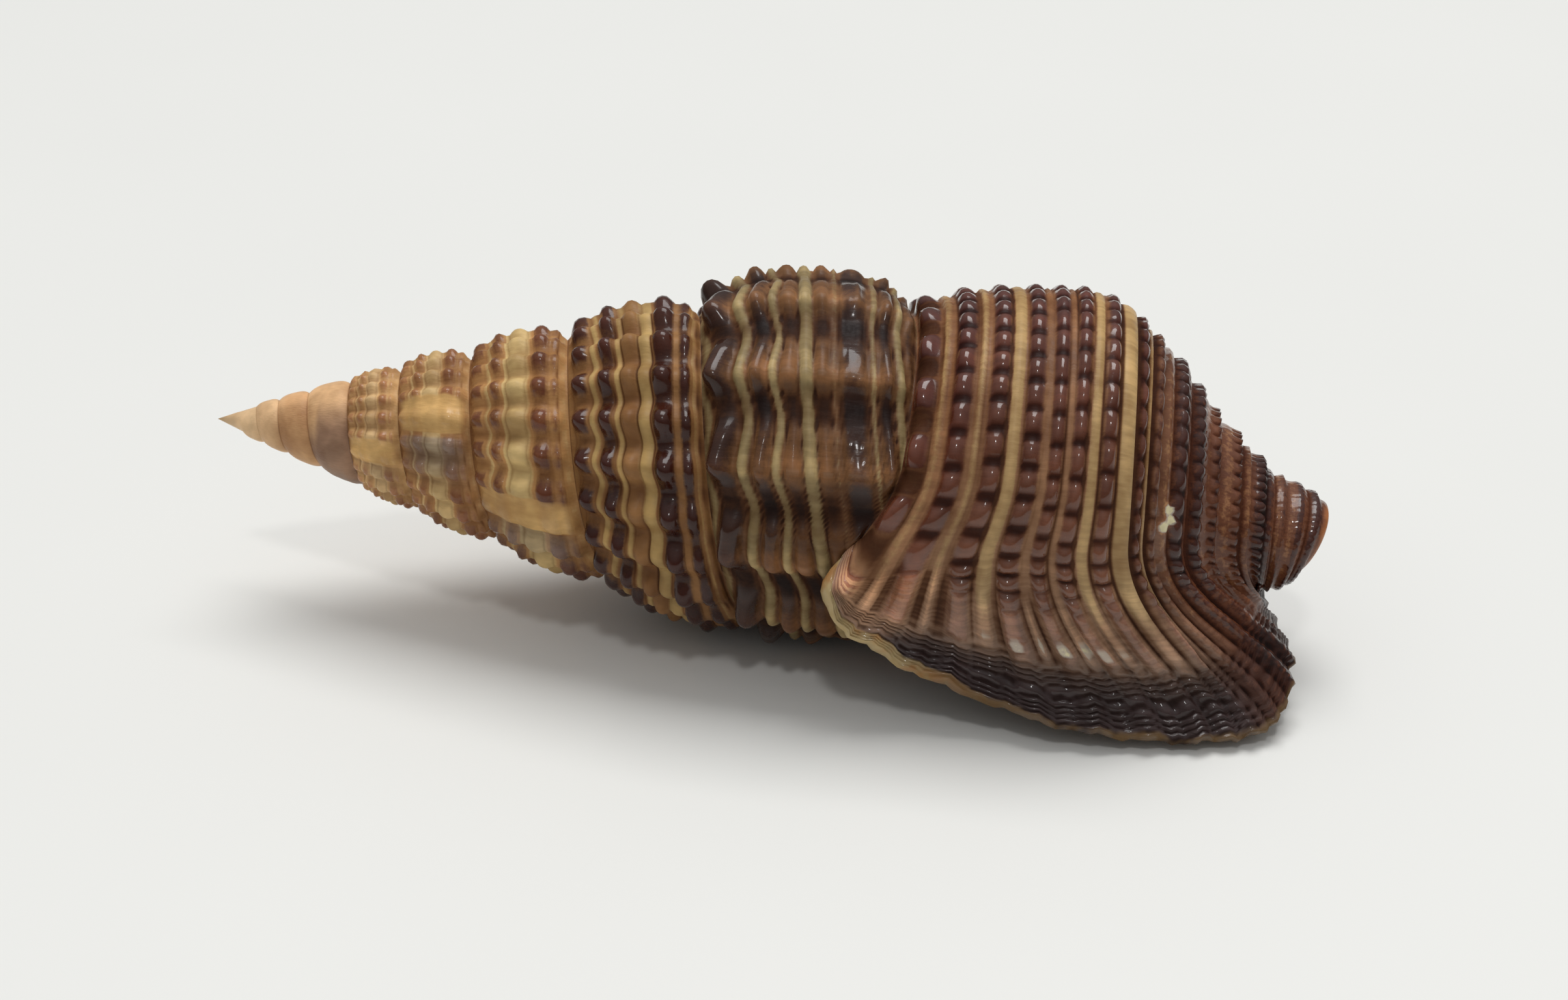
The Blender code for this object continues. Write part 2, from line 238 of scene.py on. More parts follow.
@dataclass(frozen=True)
class GrowthForm:
    """The smooth shell: suture, whorl, base, spout and flared lip, in millimetres."""

    axis_tilt: float = 1.4
    axis_height: float = 8.24
    suture_a: Curve = Curve(
        (0.0, 1.0, 2.0, 3.0, 4.0, 5.0, 6.0, 7.0, 7.92, 8.42, 8.92, 9.2, 9.5, 9.92, 10.6),
        (0.88, 1.76, 2.78, 4.12, 5.95, 8.2, 11.3, 15.55, 20.75, 24.1, 29.8, 32.0, 35.6, 39.3, 39.8),
    )
    suture_r: Curve = Curve(
        (0.0, 1.0, 2.0, 3.0, 4.0, 5.0, 6.0, 7.0, 7.92, 8.42, 8.92, 9.2, 9.5, 9.92, 10.6),
        (0.38, 0.68, 1.03, 1.45, 2.0, 2.65, 3.42, 4.6, 5.9, 6.75, 6.6, 6.6, 7.4, 7.4, 7.5),
    )
    crest_r: Curve = Curve(
        (0.0, 1.0, 2.42, 3.42, 4.42, 5.42, 6.42, 7.42, 7.92, 8.42, 8.56, 8.92, 9.2),
        (0.68, 1.02, 1.68, 2.3, 3.0, 4.02, 5.3, 7.0, 7.95, 7.6, 7.8, 8.2, 8.45),
    )
    climb_share: Curve = Curve((8.85, 8.92, 9.172, 9.25), (1.0, 1.0, 0.86, 0.60))
    climb_back: float = 0.3
    bulge_share: float = 0.975
    bulge_least: float = 0.05
    bulge_power: float = 3.2
    bulge_from: Span = (0.0, 0.4)
    bend_from: Span = (38.5, 48.0)
    base_a: tuple[float, ...] = (40.2, 41.1, 42.0, 42.9, 43.7, 44.6, 45.5)
    base_r: tuple[float, ...] = (6.6, 6.0, 5.2, 4.25, 3.7, 3.1, 2.45)
    spout_a: tuple[float, float] = (46.6, 47.2)
    spout_r: tuple[float, float] = (2.15, 1.75)
    spout_stations: tuple[float, float, float] = (0.0, 0.6, 1.0)
    spout_slant: float = 0.9
    slant_turn: float = 0.05
    spout_drop: float = 1.6
    spout_forward: float = 0.6
    columella_share: tuple[float, ...] = (0.08, 0.2, 0.34, 0.5, 0.75, 1.0)
    columella_r: tuple[float, ...] = (6.75, 5.4, 3.8, 2.5, 1.7, 1.45)
    columella_end: float = 44.8
    columella_until: Span = (8.47, 8.68)
    columella_join: float = 0.1
    rim_q: tuple[float, ...] = (
        0.0, 0.055, 0.14, 0.235, 0.42, 0.63, 0.75, 0.88, 1.0, 1.17, 1.33, 1.5, 1.67, 1.83, 2.0)
    rim_a: tuple[float, ...] = (
        28.6, 27.4, 28.3, 29.7, 33.4, 38.2, 40.8, 43.0, 44.8, 46.3, 46.9, 46.95, 46.6, 46.0, 45.5)
    rim_y: tuple[float, ...] = (
        -7.9, -8.6, -9.2, -9.0, -9.1, -9.8, -9.6, -9.35, -8.9, -8.0, -6.4, -4.6, -2.6, -0.9, 0.3)
    rim_height: tuple[float, ...] = (
        8.0, 6.4, 4.9, 3.8, 2.1, 1.0, 0.65, 0.5, 0.5, 0.75, 1.4, 1.7, 1.6, 2.2, 3.7)
    heading_q: tuple[float, ...] = (0.0, 0.055, 0.235, 0.42, 0.63, 0.88, 1.17, 1.5, 1.83, 2.0)
    heading_x: tuple[float, ...] = (-0.3, -0.8, -0.45, -0.2, 0.0, 0.2, 0.5, 0.5, 0.1, 0.0)
    heading_y: tuple[float, ...] = (-0.3, -0.6, -0.8, -0.85, -0.8, -0.75, -0.5, 0.1, 0.8, 0.95)
    heading_z: tuple[float, ...] = (-1.0, -0.1, -0.45, -0.5, -0.6, -0.6, -0.7, -0.85, -0.5, 0.0)

    def climb(self, turn: Array) -> Array:
        """Share of the whorl before that stays in sight under the suture at a turn.

        Formula: the designed share, eased back to 1 past its last station.

        Args:
            turn: Growth turns.

        Returns:
            The shares.
        """
        first, last = self.climb_share.at[0], self.climb_share.at[-1]
        share = self.climb_share(np.clip(turn, first, last))
        back = smoothstep(turn, last, last + self.climb_back)
        return share + (1.0 - share) * back

    def suture(self, turn: Array) -> tuple[Array, Array]:
        """Distance from the apex and radius of the suture at a turn.

        Formula: the designed line, and past the start of the climb a point on the
        whorl before it.

        Args:
            turn: Growth turns.

        Returns:
            Distance and radius, shaped as turn.
        """
        turn = np.asarray(turn, float)
        first = self.climb_share.at[0]
        late = np.clip(turn, first, None)
        up_a, up_r = self.designed_whorl(late - 1.0, self.climb(late))
        use = turn > first
        return np.where(use, up_a, self.suture_a(turn)), np.where(use, up_r, self.suture_r(turn))

    def designed_whorl(self, turn: Array, share: Array) -> tuple[Array, Array]:
        """Whorl profile between the designed sutures, used where nothing climbs."""
        a0, r0 = self.suture_a(turn), self.suture_r(turn)
        return self.profile(turn, share, a0, r0)

    def profile(self, turn: Array, share: Array, a0: Array, r0: Array) -> tuple[Array, Array]:
        """Rounded whorl profile from a suture point to the next turn's suture.

        Formula: the chord between both sutures, plus a bulge of 1 - |2s - 1|^3.2.

        Args:
            turn: Growth turns.
            share: Share s of the way to the next suture.
            a0: Distance of the upper suture.
            r0: Radius of the upper suture.

        Returns:
            Distance from the apex and radius.
        """
        a1, r1 = self.suture_a(turn + 1.0), self.suture_r(turn + 1.0)
        crest = self.bulge_share * self.crest_r(turn)
        bulge = np.clip(crest - 0.5 * (r0 + r1), self.bulge_least, None)
        bulge = bulge * smoothstep(turn, *self.bulge_from)
        rounded = 1.0 - np.abs(2.0 * share - 1.0) ** self.bulge_power
        radius = r0 + (r1 - r0) * share + bulge * rounded
        return a0 + (a1 - a0) * share, radius

    def whorl(self, turn: Array, share: Array) -> tuple[Array, Array]:
        """Whorl profile between the sutures as they are, climb included."""
        a0, r0 = self.suture(turn)
        return self.profile(turn, share, a0, r0)

    def place(self, turn: Array, a: Array, r: Array) -> Array:
        """Points on the smooth shell, in the shell's own frame.

        Formula: a circle of radius r round the axis, turned from +Z over -Y.  The front
        bends down and a little to the lip's side, as the siphon does.

        Args:
            turn: Growth turns.
            a: Distances along the axis.
            r: Radii.

        Returns:
            The points.
        """
        phi = TAU * turn
        bend = smoothstep(a, *self.bend_from)
        return np.stack(
            (
                a + 0.0 * phi,
                -r * np.sin(phi) - self.spout_forward * bend,
                r * np.cos(phi) - self.spout_drop * bend,
            ),
            axis=-1,
        )

    @staticmethod
    def spread(a: Array, r: Array, count: int) -> tuple[Array, Array]:
        """Evenly spaced points along a profile given by its stations.

        Args:
            a: Distances of the stations.
            r: Radii of the stations.
            count: Number of steps along the profile.

        Returns:
            Distances and radii of count + 1 points, both ends kept.
        """
        run = np.concatenate(([0.0], np.cumsum(np.hypot(np.diff(a), np.diff(r)))))
        at = np.linspace(0.0, run[-1], count + 1)
        stations = tuple(run)
        return Curve(stations, tuple(a))(at), Curve(stations, tuple(r))(at)

    def base_row(self, turn: float, plan: GridPlan) -> tuple[Array, Array]:
        """Profile of one row from the whorl's last column to the spout's end.

        Formula: the designed base profile outside, and the columella's hollow profile
        inside the aperture, blended where one passes into the other.

        Args:
            turn: Growth turn of the row.
            plan: The grid's columns.

        Returns:
            Distances and radii of the columns past the whorl's own.
        """
        start_a, start_r = (float(v) for v in self.whorl(np.float64(turn), self.climb(turn + 1.0)))
        outer_a = np.array((start_a,) + self.base_a)
        outer_r = np.array((start_r,) + self.base_r)
        outer = self.spread(outer_a, outer_r, plan.base_columns)
        join = plan.join / plan.rows_per_turn
        joined = float(smoothstep(turn, join - self.columella_join, join))
        end_a = self.columella_end + (self.base_a[-1] - self.columella_end) * joined
        hollow_r = np.array((start_r,) + self.columella_r)
        hollow_r[-1] += (self.base_r[-1] - hollow_r[-1]) * joined
        hollow_a = np.append(start_a, start_a + (end_a - start_a) * np.array(self.columella_share))
        inner = self.spread(hollow_a, hollow_r, plan.base_columns)
        share = float(smoothstep(turn, *self.columella_until))
        a = inner[0] + (outer[0] - inner[0]) * share
        r = inner[1] + (outer[1] - inner[1]) * share
        slant = self.spout_slant * math.cos(TAU * (turn - self.slant_turn))
        t = np.arange(1, plan.spout_columns + 1) / plan.spout_columns
        tube_a = (a[-1], self.spout_a[0] + 0.5 * slant, self.spout_a[1] + slant)
        tube_r = (r[-1], self.spout_r[0], self.spout_r[1])
        return (
            np.concatenate((a[1:], Curve(self.spout_stations, tube_a)(t))),
            np.concatenate((r[1:], Curve(self.spout_stations, tube_r)(t))),
        )

    def rim(self, q: Array) -> tuple[Array, Array]:
        """Points of the lip's rim and the unit direction in which the lip reaches it.

        Args:
            q: Places along the rim, 0 at the suture and 2 at the spout.

        Returns:
            Rim points and headings, both in the shell's own frame.
        """
        a, y, height = (
            Curve(self.rim_q, v)(q) for v in (self.rim_a, self.rim_y, self.rim_height))
        z = height - self.axis_height + a * math.sin(math.radians(self.axis_tilt))
        heading = np.stack(
            [Curve(self.heading_q, v)(q) for v in (self.heading_x, self.heading_y, self.heading_z)],
            axis=-1)
        return np.stack((a, y, z), axis=-1), heading / np.linalg.norm(heading, axis=-1, keepdims=True)

    def to_floor(self, points: Array) -> Array:
        """Points tilted as the shell lies, with nothing under the surface it lies on.

        Args:
            points: Points in the shell's own frame.

        Returns:
            Points above the floor.
        """
        tilt = math.radians(self.axis_tilt)
        x = points[..., 0] * math.cos(tilt) + points[..., 2] * math.sin(tilt)
        z = -points[..., 0] * math.sin(tilt) + points[..., 2] * math.cos(tilt) + self.axis_height
        return np.stack((x, points[..., 1], np.maximum(z, 0.0)), axis=-1)


@dataclass(frozen=True)
class Cord:
    """One spiral cord or stripe, followed down the shell.

    Stations are the turns 4, 6.17, 7.17, 8.17 and 9.17: the whorls as they show on the
    side that faces the camera.

    Attributes:
        place: Place along the whorl at each station.
        width: Half width there, as a share of the whorl.
        tone: Pigment there, 1 on a dark cord and -1 on a pale stripe.
        rise: Height there, as a share of a full cord's.
        beads: How deep the gaps between beads are.
        spotted: Whether the beads are coarse nodules that are pale between.
    """

    place: tuple[float, ...]
    width: tuple[float, ...]
    tone: tuple[float, ...]
    rise: tuple[float, ...]
    beads: float = 1.0
    spotted: bool = False

    TURNS = (4.0, 6.17, 7.17, 8.17, 9.17)

    def follow(self, turn: Array) -> tuple[Array, Array, Array, Array]:
        """The cord at each turn.

        Args:
            turn: Growth turns.

        Returns:
            Place, half width, tone and rise.
        """
        turn = np.clip(turn, self.TURNS[0], self.TURNS[-1])
        values = (self.place, self.width, self.tone, self.rise)
        return tuple(Curve(self.TURNS, v)(turn) for v in values)


def level(place: float, width: float, tone: float, rise: float, beads: float) -> Cord:
    """A cord of the base, whose place and strength stay the same."""
    return Cord((place,) * 5, (width,) * 5, (tone,) * 5, (rise,) * 5, beads)


def base_cords(first: float, pitch: float, count: int, width: float, rise: float,
               beads: float) -> tuple[Cord, ...]:
    """Narrow cords of the base or spout, dark ones between pale ones.

    Formula: evenly spaced, with a sine that shifts each a little and makes dark ones
    wider or narrower.

    Args:
        first: Place of the first cord.
        pitch: Distance from one cord to the next.
        count: Number of cords.
        width: Half width of a dark cord, as a share of the pitch.
        rise: Height of a dark cord, as a share of the whorl's cords.
        beads: How deep the gaps between a dark cord's beads are.

    Returns:
        The cords.
    """
    cords = []
    for k in range(count):
        drift = math.sin(2.4 * k + 40.0 * first)
        place = first + pitch * (k + 0.16 * drift)
        if k % 2 == 0:
            wide = width * pitch * (1.0 + 0.2 * drift)
            cords.append(level(place, wide, 0.75 + 0.25 * drift, rise, beads))
        else:
            cords.append(level(place, 0.7 * width * pitch, -0.5 - 0.15 * drift, 0.5 * rise, 0.2))
    return tuple(cords)


# Each row gives places, half widths, tones and heights at the five stations.
WHORL_CORDS: tuple[Cord, ...] = (
    Cord((0.02, 0.02, 0.02, 0.022, 0.0), (0.02, 0.02, 0.02, 0.03, 0.01), (-0.3, -0.3, -0.3, -0.75, 0.0),
         (0.0, 0.0, 0.0, 0.2, 0.0), 0.0),
    Cord((0.11, 0.105, 0.115, 0.095, 0.055), (0.075, 0.07, 0.065, 0.055, 0.052), (0.6, 0.65, 0.85, 1.0, 1.1),
         (1.0, 1.0, 1.2, 1.5, 1.6), 1.0, True),
    Cord((0.21, 0.21, 0.21, 0.196, 0.135), (0.03, 0.03, 0.03, 0.027, 0.015), (-0.6, -0.6, -0.7, -0.85, -0.55),
         (0.1, 0.1, 0.2, 0.6, 0.4), 0.3),
    Cord((0.30, 0.30, 0.31, 0.270, 0.226), (0.06, 0.06, 0.06, 0.038, 0.046), (0.6, 0.65, 0.8, 0.75, 1.0),
         (1.0, 1.0, 1.0, 0.8, 1.0), 1.0),
    Cord((0.39, 0.385, 0.39, 0.338, 0.31), (0.03, 0.03, 0.028, 0.024, 0.016), (-0.6, -0.7, -0.7, -0.8, -0.6),
         (0.1, 0.1, 0.2, 0.5, 0.4), 0.2),
    Cord((0.50, 0.50, 0.48, 0.402, 0.398), (0.09, 0.09, 0.06, 0.034, 0.047), (-0.8, -0.9, -0.1, 0.5, 1.0),
         (1.0, 1.0, 1.0, 0.6, 1.0), 1.0),
    Cord((0.60, 0.61, 0.59, 0.472, 0.472), (0.03, 0.025, 0.045, 0.031, 0.034), (-0.5, -0.4, -1.0, -1.0, -1.0),
         (0.1, 0.1, 0.3, 0.6, 0.45), 0.0),
    Cord((0.72, 0.73, 0.72, 0.542, 0.558), (0.075, 0.08, 0.07, 0.034, 0.044), (0.7, 0.75, 0.95, 0.4, 1.0),
         (1.0, 1.0, 1.1, 0.5, 1.0), 1.0),
    Cord((0.80, 0.81, 0.80, 0.590, 0.616), (0.012, 0.012, 0.014, 0.012, 0.012), (0.0, 0.0, 0.0, -0.5, -0.5),
         (0.0, 0.0, 0.0, 0.2, 0.3), 0.0),
    Cord((0.87, 0.88, 0.885, 0.675, 0.668), (0.045, 0.045, 0.045, 0.058, 0.032), (0.5, 0.6, 0.85, 1.0, 1.0),
         (0.6, 0.6, 0.6, 0.4, 0.9), 0.8),
    Cord((0.92, 0.93, 0.94, 0.757, 0.715), (0.02, 0.02, 0.025, 0.016, 0.012), (-0.4, -0.5, -0.8, -0.7, -0.5),
         (0.0, 0.0, 0.1, 0.3, 0.3), 0.0),
    Cord((0.95, 0.955, 0.97, 0.812, 0.766), (0.012, 0.012, 0.02, 0.032, 0.037), (0.3, 0.3, 0.6, 0.8, 1.0),
         (0.2, 0.2, 0.3, 0.8, 1.0), 0.8),
    Cord((0.975, 0.975, 0.985, 0.87, 0.83), (0.016, 0.016, 0.012, 0.024, 0.032),
         (-0.6, -0.6, -0.5, -0.9, -0.9), (0.1, 0.1, 0.1, 0.5, 0.45), 0.0),
    Cord((0.99, 0.99, 0.995, 0.932, 0.895), (0.006, 0.006, 0.01, 0.03, 0.037), (0.3, 0.3, 0.5, 0.6, 1.0),
         (0.0, 0.0, 0.1, 0.6, 1.0), 0.7),
    Cord((1.0, 1.0, 1.0, 0.985, 0.978), (0.004, 0.004, 0.006, 0.03, 0.042), (0.0, 0.0, 0.0, -0.6, -1.0),
         (0.0, 0.0, 0.0, 0.5, 0.5), 0.0),
    Cord((0.62, 0.62, 0.62, 0.632, 0.68), (0.004, 0.004, 0.004, 0.007, 0.004), (0.0, 0.0, 0.0, -0.5, 0.0),
         (0.0, 0.0, 0.0, 0.25, 0.0), 0.0),
    Cord((0.70, 0.70, 0.70, 0.716, 0.74), (0.004, 0.004, 0.004, 0.007, 0.004), (0.0, 0.0, 0.0, -0.5, 0.0),
         (0.0, 0.0, 0.0, 0.25, 0.0), 0.0),
    level(1.062, 0.036, 1.0, 1.0, 0.8),
    level(1.125, 0.026, -0.9, 0.5, 0.1),
) + base_cords(1.19, 0.0735, 11, 0.5, 1.1, 0.6) + base_cords(2.03, 0.125, 7, 0.55, 0.6, 0.15)


@dataclass(frozen=True)
class OldLip:
    """A thickened growth stop.

    Attributes:
        turn: Growth turn where it stands.
        width: Half width in turns.
        height: Height in millimetres.
        pale: Strength of its amber patch.
        smear: Strength of the grey smear behind it.
    """

    turn: float
    width: float
    height: float
    pale: float = 0.0
    smear: float = 0.0


@dataclass(frozen=True)
class CordFields:
    """What the cords give over the whole grid.

    Attributes:
        height: Height of the cords, as a share of a full cord's.
        pigment: Sum of the tones, 1 on a dark cord and -1 on a pale stripe.
        gap: Depth of the gaps between beads, beside cords and at the sutures, which the material darkens as
            painted shade.
        fold: 1 on the whorl with coarse folds.
        cover: 1 on the middle of every cord and 0 between cords.
        seam: 1 beside a suture.
    """

    height: Array
    pigment: Array
    gap: Array
    fold: Array
    cover: Array
    seam: Array


@dataclass(frozen=True)
class LipZones:
    """Zones of the flared lip, each 1 inside and 0 outside.

    Attributes:
        along: Share of the way from the start of the flare to the rim.
        side: The outer lip, without columella and spout.
        plain: Where the beads have given way to smooth ridges.
        front: The lip's front, past the end of the whorl.
        rim: The crowded lines beside the edge.
        line: Wave of the growth lines, from -1 to 1.
    """

    along: Array
    side: Array
    plain: Array
    front: Array
    rim: Array
    line: Array


@dataclass(frozen=True)
class Ground:
    """What the height, gap and pigment maps share, each over the whole grid.

    Attributes:
        turn: Growth turns.
        q: Places along whorl, base and spout.
        found: Fields of the cords as they run.
        ridges: Fields of the cords without gaps, as the lip carries them.
        lip: Zones of the flared lip.
        hump: 1 on the whorl's middle and 0 at its sutures.
        peak: 1 on the crests of ribs, folds and beads.
        folds: 1 on the whorl with coarse folds, away from its sutures.
        pale: 1 on an old lip's amber patch.
        callus: 1 where the aperture's wall covers the cords.
        painted_glint: 1 on the lip's ridge ends, where a whitish highlight is painted and the ridge is raised
            a little.
    """

    turn: Array
    q: Array
    found: CordFields
    ridges: CordFields
    lip: LipZones
    hump: Array
    peak: Array
    folds: Array
    pale: Array
    callus: Array
    painted_glint: Array


@dataclass(frozen=True)
class Relief:
    """Heights raised on the smooth shell, and where they are pale, dark or beaded.

    A Span is where a change starts and where it ends, in growth turns or in places q
    along the whorl.  Heights are millimetres.
    """

    cords: tuple[Cord, ...] = WHORL_CORDS
    rib_count: float = 21.0
    coarse_count: float = 12.0
    coarse_from: float = 0.015
    bead_count: float = 39.0
    nodule_count: float = 19.0
    colour_from: Span = (3.35, 3.95)
    cords_from: Span = (3.2, 4.1)
    ribs_from: Span = (3.3, 4.1)
    ribs_to: Span = (7.35, 7.6)
    coarse_wave_from: Span = (7.3, 7.6)
    folds_from: Span = (7.4, 7.65)
    folds_to: Span = (8.5, 8.7)
    beads_from: Span = (8.5, 8.75)
    callus_from: Span = (8.37, 8.43)
    callus_to: Span = (8.45, 8.55)
    callus_places: Span = (0.2, 0.35)
    hidden_turns: Span = (7.8, 8.45)
    seam_turns: Span = (0.3, 0.7)
    seam_end: float = 8.3
    seam_width: float = 0.03
    cord_share: float = 0.048
    cord_limit: float = 0.35
    cord_round: float = 2.4
    bead_round: float = 2.2
    bead_uneven: float = 0.2
    bead_drop: float = 0.8
    knob: float = 0.6
    sway: float = 0.014
    rib_share: float = 0.7
    fold_height: float = 0.4
    line_count: float = 19.0
    line_height: float = 0.065
    faint_line_height: float = 0.012
    # Painted highlight spots on the lip's ridge ends: place and reach in turns and q, and the small bump
    # raised under them.
    painted_glint_place: tuple[float, float] = (9.39, 0.66)
    painted_glint_reach: tuple[float, float] = (0.016, 0.2)
    painted_glint_bump: float = 0.12
    crumb_height: float = 0.15
    crumb_reach: tuple[float, float] = (0.005, 0.022)
    crumbs: tuple[tuple[float, float], ...] = ((9.186, 1.285), (9.197, 1.3), (9.206, 1.26))
    old_lips: tuple[OldLip, ...] = (
        OldLip(4.215, 0.04, 0.12, 1.0, 0.4),
        OldLip(5.125, 0.045, 0.15, 1.0, 0.8),
        OldLip(6.265, 0.035, 0.22, 1.0, 0.6),
        OldLip(7.53, 0.03, 0.6),
        OldLip(7.97, 0.035, 0.32),
        OldLip(8.198, 0.012, 0.22, 0.25),
        OldLip(8.236, 0.012, 0.26),
        OldLip(8.57, 0.035, 0.32),
    )

    def bead_wave(self, turn: Array) -> Array:
        """Wave along the cords: fine ribs on the spire, coarse folds, then small beads.

        Formula: a cosine for each, blended along the turn; the folds' cosine leans to
        one side, so that they rise slowly and fall fast.

        Args:
            turn: Growth turns.

        Returns:
            The wave, from -1 to 1.
        """
        fold = smoothstep(turn, *self.coarse_wave_from)
        bead = smoothstep(turn, *self.beads_from)
        fine = np.cos(TAU * self.rib_count * turn)
        angle = TAU * self.coarse_count * (turn - self.coarse_from)
        coarse = np.cos(angle + 0.7 * (1.0 - np.cos(angle)))
        small = np.cos(TAU * self.bead_count * turn)
        return fine * (1.0 - fold) + coarse * (fold - bead) + small * bead

    def crest(self, turn: Array) -> Array:
        """1 on the crests of the wave along the cords and 0 between them."""
        return np.clip(0.5 + 0.5 * self.bead_wave(turn), 0.0, 1.0)

    def nodule_wave(self, turn: Array) -> Array:
        """Wave of the first cord, whose nodules stay coarse on the body whorl.

        Args:
            turn: Growth turns.

        Returns:
            The wave, from -1 to 1.
        """
        body = smoothstep(turn, *self.beads_from)
        big = np.cos(TAU * self.nodule_count * turn)
        return self.bead_wave(turn) * (1.0 - body) + big * body

    def bead_gap(self, cord: Cord, number: int, turn: Array, body: Array) -> Array:
        """How near each turn is to the gap between two beads of a cord.

        Formula: half of 1 less the wave, to the power 1.3.  On the body whorl it is
        b^2.2, with b the share of the way from a bead's middle to the gap beside it, and
        a slow sine makes the beads uneven.

        Args:
            cord: The cord.
            number: Its number, which shifts its beads against its neighbours'.
            turn: Growth turns.
            body: 1 on the body whorl.

        Returns:
            0 on a bead's middle and 1 in a gap.
        """
        wave = self.nodule_wave(turn) if cord.spotted else self.bead_wave(turn)
        gap = np.clip(0.5 - 0.5 * wave, 0.0, 1.0) ** 1.3
        if cord.spotted:
            return gap
        beat = self.bead_count * turn + self.bead_uneven * np.sin(TAU * 3.1 * turn + 2.4 * number)
        small = (2.0 * np.abs(beat - np.round(beat))) ** self.bead_round
        return gap * (1.0 - body) + body * small

    def fields(self, turn: Array, q: Array) -> CordFields:
        """Raised height and pigment of all cords over the whole grid.

        Formula: with d = |q - place| / width, each cord is a dome 1 - d^2.4.  Along the
        cord its height drops in the gaps between beads and swells to a knob where it
        crosses a fold.  The pigment is the sum of the tones, each kept to its own cord
        with a soft edge, and a dark cord fades between the beads of the spire.

        Args:
            turn: Column array of growth turns.
            q: Places along the whorl and base, for every row and column.

        Returns:
            The cords' fields.
        """
        spire = 1.0 - smoothstep(turn, *self.ribs_to)
        fold = between(turn, self.folds_from, self.folds_to)
        body = smoothstep(turn, *self.beads_from)
        swing = np.cos(TAU * self.coarse_count * (turn - self.coarse_from))
        shift = self.sway * (1.0 - smoothstep(q, 0.36, 0.44)) * fold * swing
        fading = (0.6 - 0.42 * smoothstep(turn, 5.6, 7.1)) * spire
        soft = 0.038 + 0.017 * smoothstep(q, 0.95, 1.1) + 0.03 * smoothstep(q, 1.95, 2.1)
        knob = self.knob * self.crest(turn) ** 4 * fold
        height, pigment, gaps, cover = (np.zeros_like(q) for _ in range(4))
        for number, cord in enumerate(self.cords):
            place, width, tone, rise = cord.follow(turn)
            far = np.abs(q + shift - place) / width
            gap = self.bead_gap(cord, number, turn, body)
            top = 1.0 - np.clip(far, 0.0, 1.0) ** self.cord_round
            height += rise * top * (1.0 - self.bead_drop * cord.beads * gap + knob)
            shown = 1.0 - fading * smoothstep(gap, 0.35, 0.9) * (tone > 0.0)
            if cord.spotted:
                shown = shown - 1.25 * smoothstep(gap, 0.25, 0.8) * (0.35 + 0.65 * body)
            pigment += tone * np.clip(0.5 + (1.0 - far) * width / soft, 0.0, 1.0) * shown
            # Gaps between beads and beside cords, darkened later as painted shade.
            deep = cord.beads * gap * (1.0 - 0.55 * spire - 0.45 * fold + 0.25 * body)
            beside = (0.45 + 0.2 * body) * bell(far, 1.05, 0.16) * smoothstep(width, 0.008, 0.02)
            gaps += smoothstep(top, 0.0, 0.6) * deep + beside
            cover = np.maximum(cover, top * np.ones_like(rise))
        sutures = bell(q, 0.0, self.seam_width) + bell(q, 1.0, self.seam_width)
        seam = sutures * (turn < self.seam_end)
        gaps += seam * (0.55 - 0.3 * spire)
        return CordFields(height, pigment, gaps, fold, cover, seam)

    def old_lip_maps(self, turn: Array, q: Array) -> tuple[Array, Array, Array]:
        """Swelling, amber patch and grey smear of the old lips.

        Formula: a bell along the turn, rounded off towards the sutures by 1 - |2q - 1|^3.
        The patch lies on the bell's far half, and the smear fades out behind it.

        Args:
            turn: Growth turns.
            q: Places along the whorl.

        Returns:
            Height in millimetres, and shares of patch and smear.
        """
        swell, pale, smear = (np.zeros_like(q) for _ in range(3))
        rounded = np.clip(1.0 - np.abs(2.0 * q - 1.0) ** 3, 0.0, 1.0)
        for lip in self.old_lips:
            away = (turn - lip.turn) / lip.width
            swell += lip.height * bell(away, 0.0, 1.0) * rounded
            near = between(away, (-0.7, -0.3), (0.9, 1.15))
            after = between(away, (1.0, 1.2), (1.6, 4.0))
            pale = np.maximum(pale, lip.pale * near * rounded)
            smear = np.maximum(smear, lip.smear * after * rounded)
        return swell, pale, smear

    def lip_zones(self, turn: Array, q: Array, ridge: Array, plan: GridPlan) -> LipZones:
        """Zones of the flared lip.

        Formula: the growth lines are a cosine of the way along the lip, of uneven pitch,
        which each ridge draws forward by its height.

        Args:
            turn: Growth turns.
            q: Places along whorl, base and spout.
            ridge: Height of the ridges, as a share of a full cord's.
            plan: Where the lip begins and ends.

        Returns:
            The zones.
        """
        lip_end = plan.last / plan.rows_per_turn
        along = np.clip((turn - plan.flare_turn) / (lip_end - plan.flare_turn), 0.0, 1.0)
        side = 1.0 - smoothstep(q, 1.85, 2.0)
        early = 0.12 * (1.0 - smoothstep(q, 0.25, 0.5))
        plain = smoothstep(along, 0.1 - early, 0.4 - 2.0 * early) * side
        rim = smoothstep(along, 0.5, 0.68) * smoothstep(q, 0.03, 0.1) * side
        drift = 0.8 * ridge + 0.25 * np.sin(TAU * (3.1 * q + 2.3 * along))
        line = np.cos(TAU * (self.line_count * along + 0.35 * np.sin(27.0 * along) + drift))
        return LipZones(along, side, plain, smoothstep(q, 0.9, 1.25), rim, line)

